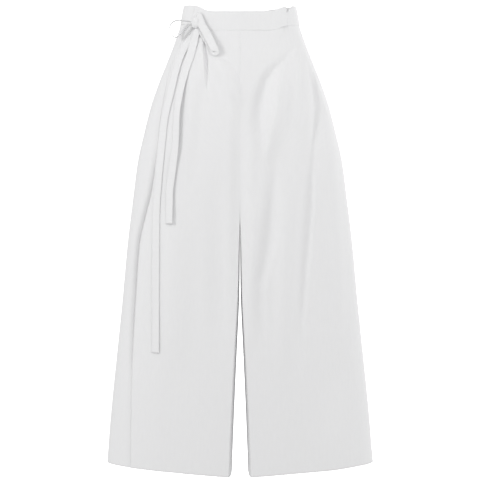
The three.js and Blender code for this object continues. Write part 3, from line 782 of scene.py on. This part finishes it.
def columnRuns(section, z, start, outer):  # from the side to the seam, closer from the crest on
    narrow = smooth(-z, *panel["innerNarrows"])
    zone = panel["innerZone"] * (1 - narrow) + panel["innerLeast"] * narrow
    split = min(section["crest"], section["length"] - zone)
    first, *close = panel["crestColumns"]  # close beside the crest, so that its shading stays narrow
    outward = np.append(np.linspace(start, split - first, outer), split - np.array(close))
    growing = np.linspace(0, 1, panel["innerColumns"]) ** panel["innerGrowth"]
    inner = split + (section["length"] - panel["edgeColumn"] - split) * growing
    return np.concatenate([outward, inner, [section["length"]]])


def panelGrid(leg, half, rowRuns, outer, lifted=None):
    points, outs, uvs = [], [], []
    zs = panelLevels()
    for z in zs:
        section = halfSection(leg, half, z)
        runs = rowRuns(section, z, outer)
        lift = np.zeros_like(runs) if lifted is None else lifted(section, z, runs)
        if runs[0] < 0:  # goes on round the side into the other half
            other = "front" if half == "back" else "back"
            ahead, aheadOut = clothRow(leg, other, -runs[runs < 0], z, lift[runs < 0])
            rest, restOut = clothRow(leg, half, runs[runs >= 0], z, lift[runs >= 0])
            row, out = np.concatenate([ahead, rest]), np.concatenate([aheadOut, restOut])
        else:
            row, out = clothRow(leg, half, runs, z, lift)
        dip = panel["seamDip"] * (1 - smooth(section["length"] - runs, 0, panel["seamDipSpan"]))
        row = row - out * dip[:, None]
        points.append(row)
        outs.append(out)
        uvs.append(np.stack([section["length"] - runs, np.full_like(runs, z)], axis=-1))
    return np.array(points), np.array(outs), np.array(uvs)


def withFlange(points, outs, uvs, last, under):  # seam allowances; under says on which rows one laps
    edge, beside = (points[:, -1], points[:, -3]) if last else (points[:, 0], points[:, 2])
    out, uv = (outs[:, -1], uvs[:, -1]) if last else (outs[:, 0], uvs[:, 0])
    way = edge - beside
    way = way - out * (way * out).sum(axis=1)[:, None]
    way = way / np.linalg.norm(way, axis=1)[:, None]
    lapping = np.array(panel["lapUnder"])
    plain = np.array(panel["plainEdge"])
    steps = np.where(under[:, None, None], lapping[None], plain[None])
    flange = edge[:, None] - out[:, None] * steps[..., :1] + way[:, None] * steps[..., 1:]
    flangeOut = np.repeat(out[:, None], len(lapping), axis=1)
    flangeUv = uv[:, None] + np.stack([np.cumsum(steps.sum(axis=2), axis=1), 0 * steps[..., 0]], axis=-1)
    added = (flange, flangeOut, flangeUv)
    if last:
        return [np.concatenate([a, b], axis=1) for a, b in zip((points, outs, uvs), added)]
    return [np.concatenate([b[:, ::-1], a], axis=1) for a, b in zip((points, outs, uvs), added)]


def withHem(points, outs, uvs):  # the hem turned up inside
    rise = np.array([0, 0, 1.0])
    folded = [points[-1] - outs[-1] * inwards + rise * up for inwards, up in panel["hemFold"]]
    folded += [points[-1 - k] - outs[-1 - k] * panel["hemTuck"] for k in range(*panel["hemRows"])]
    count = len(folded)
    foldedUv = [uvs[-1] - np.array([0, panel["hemUvStep"] * (k + 1)]) for k in range(count)]
    added = (folded, [-outs[-1]] * count, foldedUv)
    return [np.concatenate([a, np.array(b)]) for a, b in zip((points, outs, uvs), added)]


def legPanel(name, leg, half, rowRuns, outer, lifted=None, first=True):
    points, outs, uvs = panelGrid(leg, half, rowRuns, outer, lifted)
    points, outs, uvs = withHem(points, outs, uvs)
    zs = panelLevels()
    legRows = np.append(zs, np.full(len(points) - len(zs), levels["hem"])) < levels["crotch"]
    under = legRows if half == "back" else np.zeros(len(points), bool)
    under = under | (~legRows if leg == "left" else False)
    points, outs, uvs = withFlange(points, outs, uvs, True, under)
    if first:
        behind = np.full(len(points), half == "back")
        points, outs, uvs = withFlange(points, outs, uvs, False, behind)
    mesh = gridMesh(name, points, uvs, outs)
    piece = addObject(name, mesh)
    thicken(piece, panel["thickness"])
    return piece


def sewnRuns(section, z, outer):
    return columnRuns(section, z, 0, outer)


def slitLift(section, z, runs):  # the left front rises with the band towards its free end
    rise = panel["slitRise"]
    turn = 1 - runs / section["length"]
    lap = slitTurn - band["lap"]
    lifts = np.array([frontLift(t) for t in turn])
    held = lifts * (1 - smooth(turn, lap - rise["before"], lap + rise["after"]))
    return held * (1 - smooth(levels["bandFoot"] - z, 0, rise["depth"])) * (turn > rise["from"])


def lappingRuns(section, z, outer):
    runs = columnRuns(section, z, section["alongAtX"](float(shape["wrapX"](z))), outer)
    tuck = section["alongAtX"](float(panel["tuckX"]))
    return np.sort(np.concatenate([runs, tuck + np.array(panel["tuckColumns"])]))


def lappingLift(section, z, runs):  # in the band at the top, then by the distance from the free edge
    held = np.array([frontLift(run / section["length"] - 1) for run in runs])
    free = smooth(levels["bandFoot"] - z, 0, wrap["freeBelow"])
    return held * (1 - free) + wrapLift(z, runs - runs[0]) * free


def lappedRuns(section, z, outer):
    front = halfSection("right", "front", z)
    under = front["alongAtX"](float(shape["wrapX"](z))) + wrap["under"]
    return columnRuns(section, z, -under, outer)


def lappedLift(section, z, runs):
    if not sunken["z"][-1] < z < sunken["z"][0]:
        return np.zeros_like(runs)
    front = halfSection("right", "front", z)
    off = -runs - front["alongAtX"](float(shape["wrapX"](z)))
    width = np.where(off < 0, float(sunkenCurves["aside"](z)), wrap["under"])
    return -float(sunkenCurves["deep"](z)) * bell(off, width) * (runs < 0)


def panelStitches(name, leg, half, rowRuns, outer, lifted, edge):  # over the hem, and beside a free edge
    z = levels["hem"] + thread["fromHem"]
    section = halfSection(leg, half, z)
    runs = rowRuns(section, z, outer)
    runs = runs[(runs >= 0) & (runs < section["length"] - thread["fromSeam"])]
    lift = np.zeros_like(runs) if lifted is None else lifted(section, z, runs)
    rows = [clothRow(leg, half, runs, z, lift)]
    if edge:
        points, outs = [], []
        below, above = thread["edgeEnds"]
        for z in np.linspace(levels["bandFoot"] - below, levels["hem"] + above, thread["edgePoints"]):
            first = rowRuns(halfSection(leg, half, z), z, outer)[0]
            run = np.array([first + thread["fromEdge"]])
            point, out = clothRow(leg, half, run, z, wrapLift(z, run - first))
            points.append(point[0])
            outs.append(out[0])
        rows.append((np.array(points), np.array(outs)))
    return stitchRows(name, rows, clothWhite)


def sheetArea(piece):
    return sum(p.area for p in piece.data.polygons) / 2


panelPlan = {  # name, leg, half, places along a row, their count, lift, whether an edge hangs free
    "leg_front_left": ("panelFrontLeft", "left", "front", sewnRuns, 60, slitLift, False),
    "leg_back_left": ("panelBackLeft", "left", "back", sewnRuns, 60, None, False),
    "leg_front_right": ("panelFrontRight", "right", "front", lappingRuns, 56, lappingLift, True),
    "leg_back_right": ("panelBackRight", "right", "back", lappedRuns, 92, lappedLift, False),
}


def makeLegs():
    for node, (name, leg, half, rowRuns, outer, lifted, edge) in panelPlan.items():
        piece = legPanel(name, leg, half, rowRuns, outer, lifted, first=leg == "left")
        sewn = panelStitches(name + "Stitches", leg, half, rowRuns, outer, lifted, edge)
        print(node, "cloth area", round(sheetArea(piece), 4), "faces", len(piece.data.polygons))
        declarePiece(piece, clothWhite, node)
        declarePiece(sewn, clothWhite, node)


# Waistbands
band = {
    "wall": 3,
    "proud": 0.8,
    "endLift": 3.9,
    "endLiftSpan": 0.22,
    "lap": 0.11,
    "slitX": 99,
    "knotX": 98,
    "slitDip": 16,
    "slitDipSpan": 0.17,
    "footRound": [(0.15, -0.1), (0.5, 0)],  # up and out at the lower edge of the outer face
    "footInside": 0.3,
    "outerFace": [0.9, 17],  # where its even steps start, and their count
    "innerFace": [0.6, 8],
    "rounding": 1.3,
    "topSteps": 9,
    "layer": 0.75,
    "slot": 3.4,
    "pillow": 0.5,
    "stitchInset": 2.6,
    "stitchDip": 0.3,
    "stitchSpread": 0.9,
    "turnStep": 0.012,
    "uvPerTurn": 165,
    "uvInside": 60,
}


def bandPlace(turn, height, lift):
    around = np.mod(turn, 4)
    leg = "left" if around < 2 else "right"
    quarter = around if leg == "left" else 4 - around
    half = "front" if quarter < 1 else "back"
    share = 1 - quarter if half == "front" else quarter - 1
    z = levels["bandFoot"] + min(max(height, 0), levels["bandHeight"])
    section = halfSection(leg, half, z)
    sign, way = signsOf(leg, half)
    along = share * section["length"]
    x, q, nx, nq = (float(np.interp(along, section["along"], section[k])) for k in ("x", "q", "nx", "nq"))
    out = np.array([nx * sign, nq * way, 0]) / math.hypot(nx, nq)
    foot = float(topEdge(turn)) - levels["bandHeight"]
    point = np.array([x * sign, q * way, foot + height]) + out * (band["proud"] + lift)
    return point, out


def turnAtX(x):
    section = halfSection("left", "front", levels["bandFoot"] + levels["bandHeight"] / 2)
    share = 1 - section["alongAtX"](abs(x)) / section["length"]
    return -share if x < 0 else share


slitTurn = turnAtX(band["slitX"])
knotTurn = turnAtX(-band["knotX"])


def bandProfile(height):  # a folded band: height and depth, up the outside, over, and down inside
    wall, layer, r = band["wall"], band["layer"], band["rounding"]
    rows = (band["stitchInset"], height - band["stitchInset"])
    profile = list(band["footRound"])
    outerFrom, outerSteps = band["outerFace"]
    for s in np.linspace(outerFrom, height - r, outerSteps):
        pillow = band["pillow"] * math.sin(math.pi * s / height)
        dips = [math.exp(-(((s - row) / band["stitchSpread"]) ** 2)) for row in rows]
        profile.append((s, pillow - band["stitchDip"] * sum(dips)))
    arc = np.linspace(0, math.pi, band["topSteps"])[1:-1]
    profile += [(height - r + r * math.sin(a), -wall / 2 + wall / 2 * math.cos(a)) for a in arc]
    innerFrom, innerSteps = band["innerFace"]
    profile += [(s, -wall) for s in np.linspace(height - r, innerFrom, innerSteps)]
    profile += [(0, -wall + band["footInside"]), (0, -wall + layer), (band["slot"], -wall + layer)]
    profile += [(band["slot"], -layer), (0, -layer)]
    return profile


def bandMesh(name, start, end, liftAt, dipAt):
    rings, outs, uvs = [], [], []
    for turn in np.linspace(start, end, int((end - start) / band["turnStep"])):
        ring, ringOut, ringUv = [], [], []
        for s, d in bandProfile(levels["bandHeight"] - dipAt(turn)):
            outside = d > -band["wall"] / 2
            point, out = bandPlace(turn, s, liftAt(turn) + d)
            ring.append(point)
            ringOut.append(out if outside else -out)
            ringUv.append((turn * band["uvPerTurn"], s if outside else s + band["uvInside"]))
        rings.append(ring)
        outs.append(ringOut)
        uvs.append(ringUv)
    return closedMesh(name, rings, np.array(uvs).transpose(1, 0, 2), outs)


def frontLift(turn):
    fromEnd = min(turn - knotTurn, slitTurn - turn)
    return band["endLift"] * (1 - float(smooth(fromEnd, band["lap"], band["lap"] + band["endLiftSpan"])))


def backDip(turn):
    return band["slitDip"] * (1 - float(smooth(turn - slitTurn, 0, band["slitDipSpan"])))


def unmoved(turn):  # no lift, or no dip
    return 0


def rowOf(places):  # points, and ways out
    return np.array([p for p, _ in places]), np.array([o for _, o in places])


def bandStitches(name, start, end, liftAt, dipAt):
    rows = []
    inset, ends = band["stitchInset"], thread["bandEnds"]
    sunk = band["stitchDip"] - thread["overDip"]
    for fromTop in (False, True):
        places = []
        for turn in np.arange(start + ends, end - ends, band["turnStep"]):
            height = levels["bandHeight"] - dipAt(turn)
            s = height - inset if fromTop else inset
            pillow = band["pillow"] * math.sin(math.pi * s / height)
            places.append(bandPlace(turn, s, liftAt(turn) + pillow - sunk))
        rows.append(rowOf(places))
    return stitchRows(name, rows, bandWhite)


def makeBands():
    backStart, backEnd = slitTurn - band["lap"], 4 + knotTurn + band["lap"]
    plan = {  # from and to, lift and dip, and the length of the cut
        "waistband_front": ("bandFront", knotTurn, slitTurn, frontLift, unmoved, 0.23),
        "waistband_back": ("bandBack", backStart, backEnd, unmoved, backDip, 0.53),
    }
    for node, (name, start, end, liftAt, dipAt, length) in plan.items():
        piece = bandMesh(name, start, end, liftAt, dipAt)
        sewn = bandStitches(name + "Stitches", start, end, liftAt, dipAt)
        print(node, "cloth area", round(sheetArea(piece), 4))
        declarePiece(piece, bandWhite, node)
        declarePiece(sewn, bandWhite, node)


makeBands()
print("waistbands made")
makeLegs()
print("leg panels made")

# Ties: places on the right front, with the lift of the edge towards the side and the middle
shortEnd = {
    "z": [-31, -44, -85, -117, -150, -186, -225, -289, -340, -396, -458],
    "x": [86, 90, 102, 112, 121, 128, 133, 136, 143, 149, 149],
    "outEdge": [5, 5, 2.6, 0.8, 0.3, 0.3, 0.3, 0.5, 2, 1, 0.3],
    "inEdge": [4.5, 2.5, 0, 0.3, 2.2, 5.8, 8.5, 7.5, 3.4, 4, 7],
    "width": [8, 12.75, 17, 17, 17, 17, 17, 17, 17, 17, 17],
}
longEnd = {
    "z": [-31, -45, -77, -110, -147, -184, -235, -298, -374, -440, -622, -736],
    "x": [89, 99, 118, 131, 141, 150, 162, 169, 176, 180, 180, 180],
    "outEdge": [2, 1.5, 0.6, 0.3, 0.2, 0.1, 0.1, 0.1, 0.1, 0.1, 0.1, 0.2],
    "inEdge": [2, 2, 0.8, 0.5, 0.3, 0.3, 0.2, 0.1, 0.2, 0.1, 0.4, 1.8],
    "width": [8, 12.75, 15, 15, 16, 17, 17, 17, 17, 17, 17, 17],
}
tie = {
    "wall": 1.2,
    "clearance": 0.8,
    "width": 17,
    "step": 3,
    "slantSpan": 2,
    "edgeFace": [(0.3, 0.62), (1, 0.9), (2.2, 0.85)],  # in from the edge, and share of the wall
    "gathered": 0.42,  # share of the width where a loop leaves the knot
    "widens": [4, 20],
    "loopRings": 90,
    "insideKnot": 4,  # rings left out at each end of a loop, where the knot hides them
    "uvAround": 40,
}
knot = {
    "x": 87,
    "z": -25,
    "out": 7.9,
    "halfWidth": 9,
    "halfDepth": 7.125,
    "halfHeight": 11.4,
    "wall": 0.78,  # the inner face's size
    "drawnIn": [0.38, 2.6],
    "creases": [0.045, 9, 1.4],  # depth, count and twist
    "outerSteps": 19,
    "innerSteps": 9,
    "innerEnd": 0.96,
    "around": 44,
    "uvAround": 30,
}
leftLoop = {
    "along": [0, -14, -28, -42, -53, -57, -53, -44, -34, -23, -12, -1],
    "up": [1, 3, 5, 6, 0, -11, -23, -30, -24, -13, -4, -1],
    "out": [0, 0, -3, -7, -10, -11, -11, -9, -7, -4, -1, 0],
    "tilt": [0] * 12,
}
rightLoop = {
    "x": [86, 87, 83, 74, 64, 56, 51, 53, 60, 70, 78, 85],
    "z": [-26, -13, -11, -32, -56, -76, -89, -91, -78, -58, -44, -30],
    "lift": [10, 10.5, 10.5, 9.5, 10.5, 12, 11, 8, 5, 4, 4.5, 8],
    "tilt": [86, 84, 84, 86, 92, 104, 112, 104, 92, 88, 88, 88],
}


def outsidePlace(x, z, lift):  # on the outside of the right front, or of the band over it
    turn = 4 + turnAtX(-x)
    seam = float(topEdge(turn)) - levels["bandHeight"]
    if z > seam:
        return bandPlace(turn, z - seam, band["endLift"] + lift)
    blend = 1 - float(smooth(seam - z, 0, levels["waistBlend"]))
    level = min(z + (levels["bandFoot"] - seam) * blend, levels["bandFoot"])
    section = halfSection("right", "front", level)
    along = section["alongAtX"](x)
    edge = section["alongAtX"](float(shape["wrapX"](level)))
    lifted = float(wrapLift(level, max(along - edge, 0))) + lift
    point, out = clothRow("right", "front", np.array([along]), level, np.array([lifted]))
    return point[0], out[0]


def ribbonProfile(width):  # across and height of the outer face, then back along the inner one
    half = width / 2
    edge = min(1.0, half / 3)
    rising = [(-half + edge * inwards, t) for inwards, t in tie["edgeFace"]]
    face = rising + [(0, 1.0)] + [(-a, t) for a, t in rising[::-1]]
    return [(-half, 0.5)] + face + [(half, 0.5)] + [(a, 1 - t) for a, t in face[::-1]]


def ribbonMesh(name, rings, outs, runs):
    around = np.linspace(0, tie["uvAround"], len(rings[0]))
    return closedMesh(name, rings, np.stack(np.meshgrid(runs, around), axis=-1), outs)


def tiePlace(places, z, a, t):  # a across the ribbon from its middle, t through it
    x = float(places["x"](z))
    span = tie["slantSpan"]
    slant = float(places["x"](z - span) - places["x"](z + span))
    across = Vector((2 * span, slant)).normalized()
    outLift, inLift = float(places["outEdge"](z)), float(places["inEdge"](z))
    share = 0.5 + a / float(places["width"](z))  # 1 at the edge towards the side
    lift = tie["clearance"] + inLift + (outLift - inLift) * share + tie["wall"] * t
    return outsidePlace(x + across.x * a, z + across.y * a, lift)


def hangingTie(name, table):
    places = curvesOf(table)
    top, tip = table["z"][0], table["z"][-1]
    zs = np.linspace(top, tip, int((top - tip) / tie["step"]))
    rings, outs = [], []
    for z in zs:
        ring, out = rowOf([tiePlace(places, z, a, t) for a, t in ribbonProfile(float(places["width"](z)))])
        rings.append(ring)
        outs.append(out)
    return ribbonMesh(name, rings, outs, -zs)


def tieStitches(name, table):
    places = curvesOf(table)
    below, above = thread["tieEnds"]
    rows = []
    for side in (-1, 1):
        row = []
        for z in np.arange(table["z"][0] - below, table["z"][-1] + above, -tie["step"] * 2):
            half = float(places["width"](z)) / 2
            row.append(tiePlace(places, z, side * (half - thread["fromTieEdge"]), 1))
        rows.append(rowOf(row))
    return stitchRows(name, rows, tieWhite)


knotPoint, _ = outsidePlace(knot["x"], knot["z"], 0)
_, knotOut = bandPlace(4 + turnAtX(-knot["x"]), levels["bandHeight"] / 2, 0)
knotAlong = np.array([-knotOut[1], knotOut[0], 0])
knotCentre = knotPoint + knotOut * knot["out"]
forward = np.array([0, -1.0, 0])


def smoothPath(stations, count):  # a smooth line through every station
    ends = [2 * stations[0] - stations[1], *stations, 2 * stations[-1] - stations[-2]]
    path, places = [], np.linspace(0, len(stations) - 1, count)
    for place in places:
        i = min(int(place), len(stations) - 2)
        t = place - i
        before, here, there, after = ends[i : i + 4]
        bend = 2 * before - 5 * here + 4 * there - after
        twist = 3 * here - before - 3 * there + after
        path.append(0.5 * (2 * here + (there - before) * t + bend * t * t + twist * t**3))
    return np.array(path), places


def loopTie(name, table):
    count, hidden = tie["loopRings"], tie["insideKnot"]
    if "lift" in table:
        spots = zip(table["x"], table["z"], table["lift"])
        stations = [outsidePlace(x, z, lift)[0] for x, z, lift in spots]
    else:
        spots = zip(table["along"], table["out"], table["up"])
        stations = [knotCentre + np.array([along, -out, up]) for along, out, up in spots]
    path, places = smoothPath(stations, count)
    tangents = np.gradient(path, axis=0)
    tangents /= np.linalg.norm(tangents, axis=1)[:, None]
    rings, outs = [], []
    travelled = np.append(0, np.cumsum(np.linalg.norm(np.diff(path, axis=0), axis=1)))
    for k in range(hidden, count - hidden):
        run = tangents[k]
        side = forward - run * forward.dot(run)
        side /= np.linalg.norm(side)
        tilt = math.radians(float(np.interp(places[k], range(len(stations)), table["tilt"])))
        side = side * math.cos(tilt) + np.cross(run, side) * math.sin(tilt)
        normal = np.cross(run, side)
        fromEnd = min(travelled[k], travelled[-1] - travelled[k])
        opening = float(smooth(fromEnd, *tie["widens"]))
        width = tie["width"] * (tie["gathered"] + (1 - tie["gathered"]) * opening)
        ring, ringOut = [], []
        for a, t in ribbonProfile(width):
            ring.append(path[k] + side * a + normal * (t - 0.5) * tie["wall"])
            ringOut.append(normal * (1 if t > 0.5 else -1))
        rings.append(ring)
        outs.append(ringOut)
    return ribbonMesh(name, rings, outs, travelled[hidden : count - hidden])


def knotMesh(name):  # the ribbon wound once over the crossing, a band with its edges drawn in
    rings, outs = [], []
    upwards = np.array([0, 0, knot["halfHeight"]])
    drawn, power = knot["drawnIn"]
    depth, count, twist = knot["creases"]
    end = knot["innerEnd"]
    outer = [(a, 1, 1) for a in np.linspace(-1, 1, knot["outerSteps"])]
    inner = [(a, knot["wall"], -1) for a in np.linspace(end, -end, knot["innerSteps"])]
    for a, size, way in outer + inner:
        squeeze = size * (1 - drawn + drawn * math.sqrt(1 - min(abs(a), 1) ** power))
        ring, ringOut = [], []
        for angle in np.linspace(0, 2 * math.pi, knot["around"] + 1)[:-1]:
            crease = 1 + depth * math.cos(a * count + twist * math.sin(angle)) * (1 - abs(a))
            reach = knotOut * math.cos(angle) * knot["halfDepth"] + upwards * math.sin(angle)
            ring.append(knotCentre + knotAlong * a * knot["halfWidth"] + reach * squeeze * crease)
            ringOut.append(way * reach / np.linalg.norm(reach))
        rings.append(ring)
        outs.append(ringOut)
    wound = knot["uvAround"] - abs(np.linspace(-knot["uvAround"], knot["uvAround"], knot["around"]))
    crossed = tie["width"] - abs(np.linspace(-tie["width"], tie["width"], len(rings)))
    uvs = np.stack(np.meshgrid(wound, crossed), axis=-1)
    mesh = gridMesh(name, np.array(rings), uvs, np.array(outs), closedRows=True, closedColumns=True)
    return addObject(name, mesh)


def makeTies():
    pieces = {
        "tie_end_long": (hangingTie("tieEndLong", longEnd), (0.017, 0.72)),
        "tie_end_short": (hangingTie("tieEndShort", shortEnd), (0.017, 0.44)),
        "tie_loop_left": (loopTie("tieLoopLeft", leftLoop), (0.017, 0.14)),
        "tie_loop_right": (loopTie("tieLoopRight", rightLoop), (0.017, 0.17)),
        "tie_knot": (knotMesh("tieKnot"), (0.017, 0.06)),
    }
    sewn = {
        "tie_end_long": [tieStitches("tieEndLongStitches", longEnd)],
        "tie_end_short": [tieStitches("tieEndShortStitches", shortEnd)],
    }
    for node, (piece, flat) in pieces.items():
        print(node, "cloth area", round(sheetArea(piece), 5), "flat", round(flat[0] * flat[1], 5))
        declarePiece(piece, tieWhite, node)
        for row in sewn.get(node, []):
            declarePiece(row, tieWhite, node)


makeTies()
print("ties made")

# Room and light
room = {
    "floorZ": -1.32,
    "radius": 9,
    "wallHeight": 14,
    "wallSides": 96,
    "paper": 0.9,
    "glow": 1.0,  # floor and wall read as white paper
    "world": 0.64,
    "aim": (0, 0, -0.5),
}
lamps = {  # watts, then place and size in metres
    "keyLight": (31, (-2.9, -2.3, 0.7), 0.9),
    "topLight": (3.6, (0.2, -1.5, 0.55), 0.7),
    "fillLight": (10, (2.4, -3, -0.9), 1.4),
    "sideLight": (19, (3, 0.1, 0.2), 1.5),
    "edgeLight": (6, (-3, 0.8, 0.2), 1.5),
    "backLight": (30, (1.9, 3, 0.9), 1.1),
}


def softLight(name, place, power, size):
    data = bpy.data.lights.new(name, "AREA")
    data.shape = "DISK"
    data.size = size
    data.energy = power
    lamp = bpy.data.objects.new(name, data)
    lamp.location = place
    lamp.rotation_euler = (Vector(room["aim"]) - lamp.location).to_track_quat("-Z", "Y").to_euler()
    scene.collection.objects.link(lamp)


def stageObject(name, corners, faces):
    mesh = bpy.data.meshes.new(name)
    mesh.from_pydata(corners, [], faces)
    made = addObject(name, mesh)
    material = bpy.data.materials.new(name)
    material.use_nodes = True
    shader = material.node_tree.nodes["Principled BSDF"]
    shader.inputs["Base Color"].default_value = (*[room["paper"]] * 3, 1)
    shader.inputs["Roughness"].default_value = 0.9
    shader.inputs["Emission Color"].default_value = (1, 1, 1, 1)
    shader.inputs["Emission Strength"].default_value = room["glow"]
    mesh.materials.append(material)
    made.visible_diffuse = False  # the paper doesn't light the cloth, the lamps and the world do
    made.visible_glossy = False


def makeRoom():
    sides = room["wallSides"]
    ring = [2 * math.pi * k / sides for k in range(sides)]
    foot, head = room["floorZ"], room["floorZ"] + room["wallHeight"]
    circle = [(room["radius"] * math.cos(a), room["radius"] * math.sin(a)) for a in ring]
    floorRing = [(x, y, foot) for x, y in circle]
    stageObject("floor", floorRing, [tuple(range(sides))])
    wall = floorRing + [(x, y, head) for x, y in circle]
    faces = [(k, (k + 1) % sides, sides + (k + 1) % sides, sides + k) for k in range(sides)]
    stageObject("paperWall", wall, faces)
    for name, (power, place, size) in lamps.items():
        softLight(name, place, power, size)
    world = bpy.data.worlds.new("studio")
    world.use_nodes = True
    background = world.node_tree.nodes["Background"]
    background.inputs["Color"].default_value = (1, 1, 1, 1)
    background.inputs["Strength"].default_value = room["world"]
    scene.world = world
    scene.view_settings.view_transform = "Standard"
    scene.view_settings.look = "None"


makeRoom()
print("room made")
